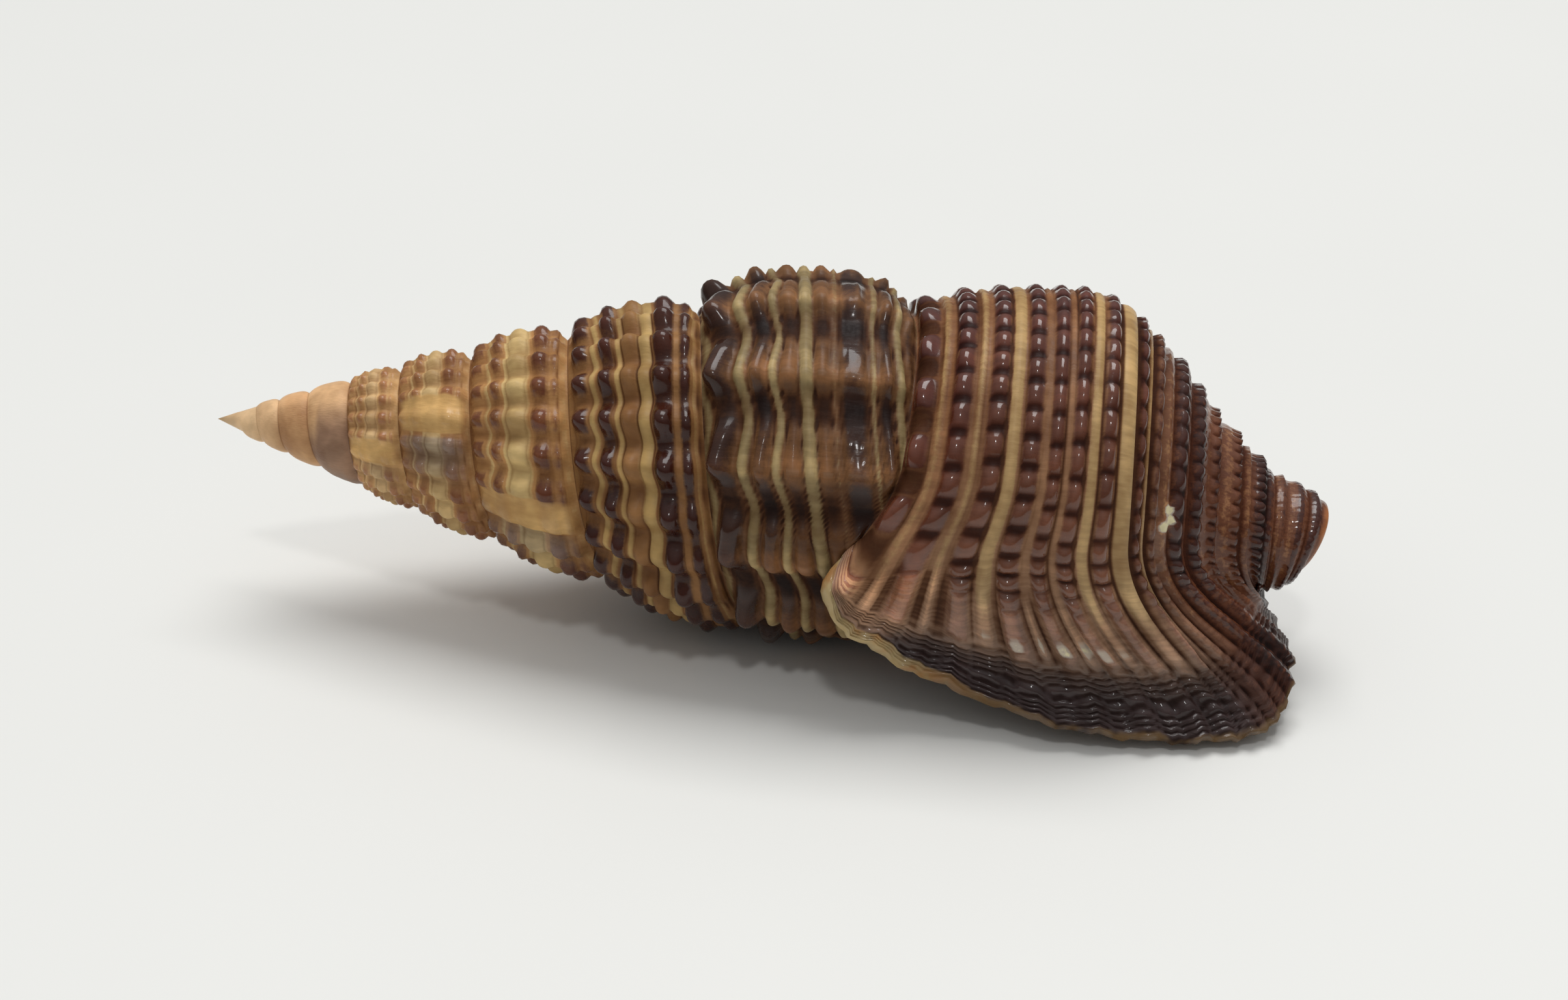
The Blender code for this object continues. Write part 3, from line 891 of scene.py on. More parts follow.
    def ground(self, turn: Array, q: Array, plan: GridPlan, pale: Array) -> Ground:
        """What the maps share.

        Args:
            turn: Growth turns.
            q: Places along whorl, base and spout.
            plan: Where the lip begins and ends.
            pale: Amber patches of the old lips.

        Returns:
            The shared arrays.
        """
        found = self.fields(turn, q)
        on_beads = round(self.bead_count * 9.0) / self.bead_count
        ridges = self.fields(np.full_like(turn, on_beads), q)
        hump = np.clip(1.0 - np.abs(2.0 * q - 1.0) ** 4, 0.0, 1.0)
        callus = between(turn, self.callus_from, self.callus_to) * smoothstep(q, *self.callus_places)
        start, end = self.hidden_turns
        callus = np.maximum(callus, (turn < end) * (turn > start) * (q > 1.0))
        # Mask of the painted highlight on the lip's ridge ends.
        painted_glint = bell(turn, self.painted_glint_place[0], self.painted_glint_reach[0])
        painted_glint = painted_glint * bell(q, self.painted_glint_place[1], self.painted_glint_reach[1]) * ridges.cover ** 2
        return Ground(
            turn, q, found, ridges, self.lip_zones(turn, q, ridges.height, plan), hump,
            self.crest(turn) ** 3, found.fold * hump, pale, callus, painted_glint)

    def height_map(self, ground: Ground, size: Array) -> Array:
        """Height of cords, ribs, folds and growth lines.

        Formula: each cord's share of the cord height, which grows with the whorl up to a
        limit.  Ribs and folds are added as waves along the turn.  The lip doubles the
        cords, then lets them down at its rim, where the growth lines rise.

        Args:
            ground: The shared arrays.
            size: Column array of whorl radii.

        Returns:
            The height in millimetres.
        """
        turn, lip = ground.turn, ground.lip
        tall = np.minimum(self.cord_share * size, self.cord_limit) * smoothstep(turn, *self.cords_from)
        height = tall * (ground.found.height * (1.0 - lip.plain) + ground.ridges.height * lip.plain)
        ribs = self.bead_wave(turn) * between(turn, self.ribs_from, self.ribs_to) * ground.hump
        height = height + self.rib_share * tall * ribs
        height = height + self.fold_height * (ground.peak - 0.3) * ground.folds
        height = height * (1.0 - 0.6 * ground.pale) * (1.0 - ground.callus)
        flare = smoothstep(lip.along, 0.0, 0.35) * lip.side
        height = height * (1.0 + flare * (1.1 - 0.6 * lip.front))
        height = height * (1.0 - lip.rim * (0.5 - 0.1 * lip.front))
        crowded = self.line_height * lip.rim * (1.0 - 0.7 * lip.front)
        faint = self.faint_line_height * lip.plain * (1.0 - lip.rim)
        return height + (crowded + faint) * lip.line + self.painted_glint_bump * ground.painted_glint

    def gap_map(self, ground: Ground) -> Array:
        """Depth of the gaps, below 0 where a crest catches light.

        Formula: the cords' own gaps, and on the lip the grooves between ridges and
        growth lines, less half of what is lit: crests of folds and ridges and the
        painted highlight spots.  The material darkens the gaps as painted shade and
        brightens what is lit as painted light.

        Args:
            ground: The shared arrays.

        Returns:
            The depth, 0 on a plain surface and about 1 in a deep gap.
        """
        lip, cover, furrow = ground.lip, ground.ridges.cover, 0.5 - 0.5 * ground.lip.line
        bare = (1.0 - lip.rim * (1.0 - 0.5 * lip.front)) * 0.8 * (1.0 - cover)
        bare = bare * (0.75 + 0.25 * smoothstep(ground.q, 0.15, 0.4))
        grooves = lip.plain * (bare + 0.12 * furrow)
        gap = ground.found.gap * (1.0 - lip.plain) + grooves + 0.5 * lip.rim * furrow
        # Painted light on the lip's ridges, the fold crests and the painted highlight spots.
        lit = 1.1 * lip.plain * (1.0 - lip.rim * (1.0 - 0.8 * lip.front)) * cover ** 2
        lit = lit + 1.4 * ground.peak ** 2 * ground.folds + 2.2 * ground.painted_glint
        # Painted shade in the valleys between folds.
        valley = 0.35 * ground.folds * (1.0 - ground.peak) ** 2
        gap = (gap + valley) * (1.0 - ground.pale) - 0.5 * lit
        young = smoothstep(ground.turn, *self.colour_from)
        seam = ground.found.seam * smoothstep(ground.turn, *self.seam_turns)
        return gap * young + 0.5 * seam * (1.0 - young)

    def pigment_map(self, ground: Ground) -> Array:
        """Pigment, 1 on dark cords and -1 on pale stripes.

        Formula: the cords' own pigment, weaker on the rim, on the young whorls, on the
        crests of the folds and, for the pale stripes, on the lip.

        Args:
            ground: The shared arrays.

        Returns:
            The pigment.
        """
        lip = ground.lip
        pigment = ground.found.pigment * (1.0 - ground.callus)
        pigment = pigment * (1.0 - 0.6 * lip.rim * (1.0 - lip.front)) * (1.0 - 0.4 * lip.plain)
        faint = 0.6 * smoothstep(lip.along, 0.2, 0.5) * lip.side * (pigment < 0.0)
        young = smoothstep(ground.turn, *self.colour_from)
        pigment = pigment * (0.15 + 0.85 * young) * (1.0 - faint)
        return pigment - 0.5 * ground.peak * ground.folds * np.clip(pigment, 0.0, 1.0)

    def raised(self, turn: Array, q: Array, size: Array, plan: GridPlan) -> tuple[
            Array, Array, Array, Array]:
        """Height over the smooth shell in millimetres, with the maps the material uses.

        Args:
            turn: Column array of growth turns.
            q: Places along whorl, base and spout.
            size: Column array of whorl radii.
            plan: Where the lip begins and ends.

        Returns:
            Height, pigment, gap (painted shade above 0, painted light below 0, far below
            0 on a crumb) and old lip (above 0 on a patch, below 0 on a smear), each for
            the whole grid.
        """
        swell, pale, smear = self.old_lip_maps(turn, q)
        ground = self.ground(turn, q, plan, pale)
        reach_turn, reach_q = self.crumb_reach
        crumb = sum(bell(turn, one, reach_turn) * bell(q, two, reach_q) for one, two in self.crumbs)
        height = self.height_map(ground, size) + swell + self.crumb_height * crumb
        gap = self.gap_map(ground) * (1.0 - crumb) - 4.0 * crumb
        return height, self.pigment_map(ground), gap, pale - smear


@dataclass
class Skin:
    """Mesh data that the skin is gathered in: points, rings of corners and their maps."""

    points: list[Array] = field(default_factory=list)
    rings: list[Array] = field(default_factory=list)
    sizes: list[Array] = field(default_factory=list)
    maps: list[Array] = field(default_factory=list)
    inside: list[Array] = field(default_factory=list)
    count: int = 0

    def add_points(self, points: Array) -> Array:
        """Keep some points and return their numbers.

        Args:
            points: Array of points, of any shape with three values each.

        Returns:
            Whole numbers, shaped as the points.
        """
        flat = points.reshape(-1, 3)
        numbers = np.arange(self.count, self.count + len(flat)).reshape(points.shape[:-1])
        self.points.append(flat)
        self.count += len(flat)
        return numbers

    def add_rings(self, ids: Array, maps: Array, inside: bool) -> None:
        """Keep faces given as rows of corner numbers, left out where they are -1.

        Args:
            ids: Corner numbers, one face a row, counted clockwise from outside.
            maps: Map values of each corner.
            inside: Whether the faces are the aperture's own.
        """
        filled = ids >= 0
        order = np.argsort(~filled, axis=1, kind="stable")
        ids = np.take_along_axis(ids, order, axis=1)
        maps = np.take_along_axis(maps, order[..., None], axis=1)
        total = filled.sum(axis=1)
        closing = np.take_along_axis(ids, total[:, None] - 1, axis=1)
        before = np.where(np.arange(ids.shape[1]) == 0, closing, np.roll(ids, 1, axis=1))
        keep = (ids >= 0) & (ids != before)
        total = keep.sum(axis=1)
        good = total > 2
        ids, maps, keep = (v[good][:, ::-1] for v in (ids, maps, keep))
        self.rings.append(ids[keep])
        self.maps.append(maps[keep])
        self.sizes.append(total[good])
        self.inside.append(np.full(np.count_nonzero(good), inside))

    def fan(self, ring: Array, hub: Array, ring_maps: Array, hub_map: Array, inside: bool) -> None:
        """Close a ring of points with triangles to one point.

        Args:
            ring: Point numbers in order, clockwise from outside.
            hub: Place of the middle point.
            ring_maps: Map values of the ring's points.
            hub_map: Map values of the middle point.
            inside: Whether the faces are the aperture's own.
        """
        middle = self.add_points(hub[None, :])[0]
        after = np.roll(ring, -1)
        ids = np.stack((ring, after, np.full_like(ring, middle)), axis=1)
        hub_maps = np.repeat(hub_map[None, :], len(ring), axis=0)
        maps = np.stack((ring_maps, np.roll(ring_maps, -1, axis=0), hub_maps), axis=1)
        self.add_rings(ids, maps, inside)

    def to_mesh(self, name: str) -> bpy.types.Mesh:
        """Make the Blender mesh, with its growth map and pigment attributes.

        Args:
            name: Name of the mesh.

        Returns:
            The mesh, in metres.
        """
        points = np.concatenate(self.points) * MM
        corners = np.concatenate(self.rings)
        totals = np.concatenate(self.sizes)
        maps = np.concatenate(self.maps)
        inside = np.concatenate(self.inside)
        mesh = bpy.data.meshes.new(name)
        mesh.vertices.add(len(points))
        mesh.vertices.foreach_set("co", points.ravel())
        mesh.loops.add(len(corners))
        mesh.loops.foreach_set("vertex_index", corners.astype(np.int32))
        mesh.polygons.add(len(totals))
        mesh.polygons.foreach_set("loop_start", (np.cumsum(totals) - totals).astype(np.int32))
        mesh.update(calc_edges=True)
        growth = mesh.uv_layers.new(name="growth")
        growth.uv.foreach_set("vector", maps[:, :2].astype(np.float32).ravel())
        for column, label in ((2, "pigment"), (3, "gap"), (4, "old_lip")):
            attribute = mesh.attributes.new(label, "FLOAT", "CORNER")
            attribute.data.foreach_set("value", maps[:, column].astype(np.float32))
        mesh.polygons.foreach_set("material_index", inside.astype(np.int32))
        mesh.shade_smooth()
        return mesh


@dataclass
class CerithShell:
    """The whole shell as one closed skin, in millimetres.

    The knots are the places of the solid's lip columns.  A column of the flare leaves the
    whorl and arrives at the rim with slopes that are shares of its length.
    """

    plan: GridPlan = field(default_factory=GridPlan)
    form: GrowthForm = field(default_factory=GrowthForm)
    relief: Relief = field(default_factory=Relief)
    wall: float = 1.0
    rim_wall: float = 0.28
    ragged: float = 0.13
    wing_wall: tuple[float, ...] = (0.0, 0.2, 0.5, 0.8, 1.0)
    rim_round: float = 0.25
    rim_angles: tuple[float, ...] = (math.pi / 4, math.pi / 2, 3 * math.pi / 4)
    ragged_waves: tuple[tuple[float, float, float], ...] = (
        (7.3, 0.0, 1.0), (17.0, 1.0, 1.0), (29.0, 2.0, 0.6))
    ragged_places: tuple[Span, Span] = ((0.03, 0.12), (1.75, 1.9))
    knots: tuple[float, ...] = (
        0.0, 0.055, 0.14, 0.235, 0.33, 0.42, 0.52, 0.63, 0.75, 0.88, 1.0, 2.0)
    knot_numbers: tuple[float, ...] = (0, 1, 2, 3, 4, 5, 6, 7, 8, 9, 10, 22)
    leave: float = 1.15
    arrive: float = 0.9
    early_share: float = 0.6
    late_share: float = 1.0 / 12.0
    led_until: Span = (1.88, 2.0)
    wing_knot: float = 4.0
    front_knot: float = 19.0
    mouth_rings: tuple[tuple[float, float], ...] = (
        (0.93, -0.09), (0.8, -0.1), (0.69, 0.03), (0.58, 0.45), (0.5, 1.0))
    mouth_depth: float = 1.1
    fade_columns: int = 3
    fade_corner: int = 6
    fade_rows: int = 20
    late_rows: tuple[int, int] = (-8, 24)
    inside_step: int = 2
    body: str = "root"
    node: str = "shell"
    slot: str = "shell"

    def turns(self) -> Array:
        """Growth turn of each row, as a column."""
        return (np.arange(self.plan.last + 1) / self.plan.rows_per_turn)[:, None]

    def places(self) -> Array:
        """Place q of every grid point along its whorl (0 to 1), base (to 2) and spout.

        Returns:
            The places.
        """
        plan = self.plan
        seen = self.form.climb(self.turns() + 1.0)
        whorl = seen * np.linspace(0.0, 1.0, plan.whorl_columns + 1)
        base = seen + (2.0 - seen) * np.arange(1, plan.base_columns + 1) / plan.base_columns
        spout = 2.0 + 0.0 * seen + np.arange(1, plan.spout_columns + 1) / plan.spout_columns
        return np.concatenate((whorl, base, spout), axis=1)

    def grown(self) -> Array:
        """Smooth grid before the lip flares: whorls, base, columella and spout.

        Returns:
            The grid's points.
        """
        plan, form, turn = self.plan, self.form, self.turns()
        share = form.climb(turn + 1.0) * np.linspace(0.0, 1.0, plan.whorl_columns + 1)
        a, r = form.whorl(turn, share)
        extra = plan.columns - plan.whorl_columns
        more_a, more_r = (np.repeat(v[:, -1:], extra, axis=1) for v in (a, r))
        for row in range(plan.deep - plan.rows_per_turn, plan.last + 1):
            more_a[row], more_r[row] = form.base_row(row / plan.rows_per_turn, plan)
        a, r = (np.concatenate(pair, axis=1) for pair in ((a, more_a), (r, more_r)))
        points = form.place(turn, a, r)
        points[plan.end + 1:, 0] = points[plan.end, 0]
        return points

    def column_place(self) -> Array:
        """Place of each column along the rim, which the flare is designed on.

        Returns:
            Places from 0 at the suture to 2 at the spout.
        """
        plan = self.plan
        return np.concatenate(
            (np.linspace(0.0, 1.0, plan.whorl_columns + 1),
             1.0 + np.arange(1, plan.base_columns + 1) / plan.base_columns))

    def knot_number(self, q: Array) -> Array:
        """Number of each place among the knots that the solid's lip is drawn with."""
        return np.interp(q, self.knots, self.knot_numbers)

    def ragged_edge(self, q: Array) -> Array:
        """How far the rim is cut back at each place.

        Formula: a sum of three sines of q, faded out at both ends of the lip.

        Args:
            q: Places along the rim.

        Returns:
            Lengths along the rim's heading, below 0 where it is cut back.
        """
        waves = sum(part * np.sin(TAU * pitch * q + lead) for pitch, lead, part in self.ragged_waves)
        waves = waves / sum(part for _, _, part in self.ragged_waves)
        return self.ragged * between(q, *self.ragged_places) * waves - self.ragged

    def flared(self, points: Array) -> Array:
        """Lead each column off the whorl to its place on the rim.

        Formula: a cubic with set end tangents, from the last row of the whorl in its
        own direction to the rim point in the rim's heading.

        Args:
            points: The grown grid.

        Returns:
            The grid with its lip flared.
        """
        plan = self.plan
        first, last = plan.flare, plan.last
        q = self.column_place()[1:plan.front]
        p0 = points[first, 1:plan.front]
        p1, heading = self.form.rim(q)
        p1 = p1 + heading * self.ragged_edge(q)[:, None]
        away = p0 - points[first - 1, 1:plan.front]
        reach = np.linalg.norm(p1 - p0, axis=1, keepdims=True)
        t0 = away / np.linalg.norm(away, axis=1, keepdims=True) * reach * self.leave
        t1 = heading * reach * self.arrive
        fading = np.exp(-np.clip(self.knot_number(q) - 1.0, 0.0, None) / 2.0)
        middle = self.late_share + (self.early_share - self.late_share) * fading
        row = np.arange(first + 1, last + 1)[:, None]
        near = middle * (row - first) / (plan.end - first)
        far = middle + (1.0 - middle) * (row - plan.end) / (last - plan.end)
        u = np.where(row <= plan.end, near, far)[..., None]
        led = hermite(u, p0, t0, p1, t1)
        keep = smoothstep(q, *self.led_until)[None, :, None]
        points = points.copy()
        points[first + 1:, 1:plan.front] = led + (points[first + 1:, 1:plan.front] - led) * keep
        return points

    @staticmethod
    def normals(points: Array) -> Array:
        """Outward unit normals, as the cross product of the grid's two directions.

        Args:
            points: A grid's points.

        Returns:
            The normals.
        """
        normal = np.cross(np.gradient(points, axis=0), np.gradient(points, axis=1))
        return normal / np.maximum(np.linalg.norm(normal, axis=-1, keepdims=True), 1e-9)

    def edge_fade(self) -> Array:
        """Share of the relief that each grid point keeps.

        Formula: eased from 0 where a column is shared with the next whorl or closed by a
        fan, over a few columns to 1.

        Returns:
            The shares.
        """
        plan = self.plan
        j = np.arange(plan.columns + 1)[None, :]
        i = np.arange(plan.last + 1)[:, None]
        fade = smoothstep(j, 0, self.fade_columns) * np.ones_like(i, float)
        shared = 1.0 - smoothstep(j, plan.whorl_columns - self.fade_columns, plan.whorl_columns)
        fade = np.where((i < plan.seam) & (j <= plan.whorl_columns), fade * shared, fade)
        opened = smoothstep(i, plan.seam, plan.seam + self.fade_rows)
        near = 1.0 - bell(j, plan.whorl_columns, self.fade_columns) * (1.0 - opened)
        fade = np.where(i >= plan.seam, fade * near, fade)
        fade = np.where(i >= plan.end, fade * smoothstep(j, 0, self.fade_corner), fade)
        return np.where((i < plan.seam) & (j > plan.whorl_columns), 0.0, fade)

    def build(self) -> bpy.types.Object:
        """Work out the skin, put it into a mesh and set it in the shell's place.

        Returns:
            The shell's object, at the origin, with its place in its mesh.
        """
        plan, form, skin = self.plan, self.form, Skin()
        turn, q = self.turns(), self.places()
        smooth = self.flared(self.grown())
        normal = self.normals(smooth)
        height, pigment, gap, pale = self.relief.raised(turn, q, form.crest_r(turn), plan)
        rough = smooth + normal * (height * self.edge_fade())[..., None]
        rough[plan.last, plan.front:] = rough[plan.join, plan.front:]
        maps = np.stack(np.broadcast_arrays(turn, q, pigment, gap, pale), axis=-1)

        outer = self.number_outside(skin, rough)
        self.face_outside(skin, outer, maps)
        inner, inner_points = self.number_inside(skin, outer, smooth, normal, rough)
        self.face_inside(skin, inner, maps)
        self.face_rim(skin, outer, inner, rough, inner_points, maps)
        self.face_caps(skin, outer, inner, maps)

        skin.points = [form.to_floor(np.concatenate(skin.points))]
        lowest, highest = skin.points[0].min(axis=0), skin.points[0].max(axis=0)
        skin.points[0][:, :2] -= 0.5 * (lowest + highest)[:2]
        shell = bpy.data.objects.new("shell_skin", skin.to_mesh("shell_skin"))
        bpy.context.scene.collection.objects.link(shell)
        return shell

    def number_outside(self, skin: Skin, rough: Array) -> Array:
        """Number the outer grid's points, sharing each suture with the next whorl.

        Args:
            skin: Where the points are kept.
            rough: The outer grid.

        Returns:
            Point numbers of the grid, -1 where there is no point.
        """
        plan = self.plan
        n, m = plan.rows_per_turn, plan.whorl_columns
        i = np.arange(plan.last + 1)[:, None]
        j = np.arange(plan.columns + 1)[None, :]
        size, size_below = np.ones_like(i), np.ones_like(i)
        for first, last, step in plan.steps()[:-1]:
            size = np.where((i >= first) & (i < last), step, size)
            size_below = np.where((i + n >= first) & (i + n < last), step, size_below)
        present = (i % size == 0) & (j % size == 0) & (j > 0) & (j < m)
        present |= (j == m) & (i % size_below == 0)
        present |= (j == 0) & (i < n) & (i % size == 0)
        present |= (j > m) & (j <= plan.front) & (i >= plan.seam)
        present |= (j >= m + plan.suture_wall) & (j <= plan.front) & (i >= plan.deep - n)
        present |= (j > plan.front) & (i >= plan.join)
        present &= ~((i == plan.last) & (j >= plan.front))
        numbers = np.full(present.shape, -1)
        numbers[present] = skin.add_points(rough[present])
        numbers[n:plan.end + 1, 0] = numbers[:plan.end + 1 - n, m]
        numbers[plan.end + 1:, 0] = numbers[plan.end, 0]
        numbers[plan.last, plan.front:] = numbers[plan.join, plan.front:]
        return numbers

    @staticmethod
    def cells(first: Array, column: Array, step: int) -> tuple[Array, Array]:
        """Rows and columns met on the way round square cells of a grid.

        Args:
            first: Lowest row of each cell.
            column: Lowest column of each cell.
            step: Rows and columns that a cell spans.

        Returns:
            Row and column of each place on the cells' edges, in order.
        """
        zero, up = np.zeros(step, int), np.arange(step)
        full = np.full(step, step)
        row = np.concatenate((zero, up, full, step - up))
        col = np.concatenate((up, full, step - up, zero))
        return first[:, None] + row, column[:, None] + col

    def face_outside(self, skin: Skin, outer: Array, maps: Array) -> None:
        """Faces of the outer grid, larger on the small early whorls.

        Args:
            skin: Where the faces are kept.
            outer: Point numbers of the outer grid.
            maps: Map values of the grid.
        """
        plan = self.plan
        m, n = plan.whorl_columns, plan.rows_per_turn
        for first, last, step in plan.steps():
            i, j = (v.ravel() for v in np.meshgrid(
                np.arange(first, last, step), np.arange(0, plan.columns, step), indexing="ij"))
            use = (j < m) | ((j < plan.front) & (i >= plan.seam)) | (i >= plan.join)
            use |= (j >= m + plan.suture_wall) & (j < plan.front) & (i >= plan.deep - n) & (i < plan.seam)
            rows, columns = self.cells(i[use], j[use], step)
            skin.add_rings(outer[rows, columns], maps[rows, columns], False)

    def number_inside(self, skin: Skin, outer: Array, smooth: Array, normal: Array,
                      rough: Array) -> tuple[Array, Array]:
        """Number the aperture's wall, one wall thickness inside the outer grid.

        Formula: the smooth grid less the wall along its normal.  Beside the suture and
        the siphon the wall runs straight to the point where it meets the whorl before.

        Args:
            skin: Where the points are kept.
            outer: Point numbers of the outer grid.
            smooth: The smooth grid.
            normal: Its normals.
            rough: The outer grid with its relief.

        Returns:
            Point numbers and points of the wall, for all rows.
        """
        plan = self.plan
        n, kc, d = plan.rows_per_turn, plan.front, plan.deep
        edge = plan.whorl_columns + plan.suture_wall
        rows = np.arange(d, plan.last + 1)
        number = self.knot_number(self.column_place())
        near, ahead = (int(np.argmin(np.abs(number - at))) for at in (self.wing_knot, self.front_knot))
        thinned = self.wall * (1.0 - (1.0 - self.rim_wall) * smoothstep(rows, plan.end, plan.last))
        thinned = thinned[:, None, None]
        points = smooth[d:, :kc + 1] - thinned * normal[d:, :kc + 1]
        back = rough[np.minimum(rows, plan.end) - n, edge][:, None]
        front = rough[rows - n, kc][:, None]
        share = (number[:near + 1] / number[near])[None, :, None]
        straight = back + (points[:, near:near + 1] - back) * share
        thin = np.interp(number[:near + 1], range(5), self.wing_wall)[None, :, None]
        wing = smooth[d:, :near + 1] - thinned * thin * normal[d:, :near + 1]
        wing = np.where(number[:near + 1][None, :, None] > 0.0, wing, back)
        late = smoothstep(rows - plan.end, *self.late_rows)[:, None, None]
        points[:, :near + 1] = straight + (wing - straight) * late
        share = ((number[ahead:] - number[ahead]) / (number[-1] - number[ahead]))[None, :, None]
        points[:, ahead:] = points[:, ahead:ahead + 1] + (front - points[:, ahead:ahead + 1]) * share

        i, j = rows[:, None], np.arange(kc + 1)[None, :]
        step = self.inside_step
        present = ((i - d) % step == 0) & (j % step == 0) & (j > 0) & (j < kc)
        present |= (i == plan.last) & (j > 0) & (j < kc)
        numbers = np.full(present.shape, -1)
        numbers[present] = skin.add_points(points[present])
        numbers[:, 0] = outer[np.minimum(rows, plan.end) - n, edge]
        numbers[:, kc] = outer[rows - n, kc]
        return numbers, points

    def face_inside(self, skin: Skin, inner: Array, maps: Array) -> None:
        """Faces of the aperture's wall, which look the other way.

        Args:
            skin: Where the faces are kept.
            inner: Point numbers of the wall.
            maps: Map values of the grid.
        """
        plan, step = self.plan, self.inside_step
        i, j = (v.ravel() for v in np.meshgrid(
            np.arange(0, plan.last - plan.deep, step), np.arange(0, plan.front, step), indexing="ij"))
        rows, columns = self.cells(i, j, step)
        rows, columns = rows[:, ::-1], columns[:, ::-1]
        skin.add_rings(inner[rows, columns], maps[rows + plan.deep, columns], True)

    def face_rim(self, skin: Skin, outer: Array, inner: Array, rough: Array, inner_points: Array,
                 maps: Array) -> None:
        """Round the lip's edge with three rings between its two sides.

        Formula: half an ellipse, from the outer side over the rim's heading to the
        inner side.

        Args:
            skin: Where the faces are kept.
            outer: Point numbers of the outer grid.
            inner: Point numbers of the aperture's wall.
            rough: The outer grid.
            inner_points: The aperture's wall.
            maps: Map values of the grid.
        """
        plan = self.plan
        kc, edge = plan.front, plan.whorl_columns + plan.suture_wall
        heading = self.form.rim(self.column_place()[1:kc])[1]
        out, back = rough[plan.last, 1:kc], inner_points[-1, 1:kc]
        rings = [outer[plan.last, :kc + 1]]
        for angle in self.rim_angles:
            ring = 0.5 * (out + back) + 0.5 * (out - back) * math.cos(angle)
            ring = ring + self.rim_round * self.rim_wall * math.sin(angle) * heading
            rings.append(np.concatenate(
                ([outer[plan.last, 0]], skin.add_points(ring), [outer[plan.last, kc]])))
        rings.append(np.concatenate(([outer[plan.last, 0]], inner[-1, 1:])))
        row_maps = maps[plan.last, :kc + 1]
        here, after = row_maps[:-1], row_maps[1:]
        for one, two in zip(rings, rings[1:]):
            ids = np.stack((one[:-1], one[1:], two[1:], two[:-1]), axis=1)
            skin.add_rings(ids, np.stack((here, after, after, here), axis=1), False)
        wall = outer[plan.seam, plan.whorl_columns:edge + 1]
        ids = np.concatenate(([outer[plan.last, 0], inner[-1, 1]], wall[::-1]))[None, :]
        skin.add_rings(ids, np.repeat(row_maps[:1], ids.shape[1], axis=0)[None], False)

    def face_caps(self, skin: Skin, outer: Array, inner: Array, maps: Array) -> None:
        """Close the aperture's back, the apex and the blind end of the siphon.

        Args:
            skin: Where points and faces are kept.
            outer: Point numbers of the outer grid.
            inner: Point numbers of the aperture's wall.
            maps: Map values of the grid.
        """
        plan = self.plan
        n, m, kc = plan.rows_per_turn, plan.whorl_columns, plan.front
        points = np.concatenate(skin.points)

        across = inner[0, :kc + 1]
        under = outer[plan.deep - n, m + plan.suture_wall + 1:kc][::-1]
        throat = np.concatenate((across[across >= 0], under))
        hub_map = maps[plan.deep, kc // 2]
        throat_maps = np.repeat(hub_map[None], len(throat), axis=0)
        skin.fan(throat, points[throat].mean(axis=0), throat_maps, hub_map, True)

        tip = np.concatenate((outer[0, :m + 1], outer[1:n, 0][::-1]))
        tip = tip[tip >= 0][::-1]
        skin.fan(tip, np.zeros(3), np.repeat(maps[0, :1], len(tip), axis=0), maps[0, 0], False)

        mouth = outer[plan.join:plan.last, plan.columns]
        ring = points[mouth]
        centre = ring.mean(axis=0)
        mouth_map = np.repeat(maps[plan.join, -1:], n, axis=0)
        before = mouth
        for scale, depth in self.mouth_rings:
            inward = skin.add_points(centre + (ring - centre) * scale - np.array((depth, 0.0, 0.0)))
            ids = np.stack((before, inward, np.roll(inward, -1), np.roll(before, -1)), axis=1)
            skin.add_rings(ids, np.repeat(mouth_map[:, None], 4, axis=1), False)
            before = inward
        end = centre - np.array((self.mouth_depth, 0.0, 0.0))
        skin.fan(before[::-1], end, mouth_map, mouth_map[0], False)


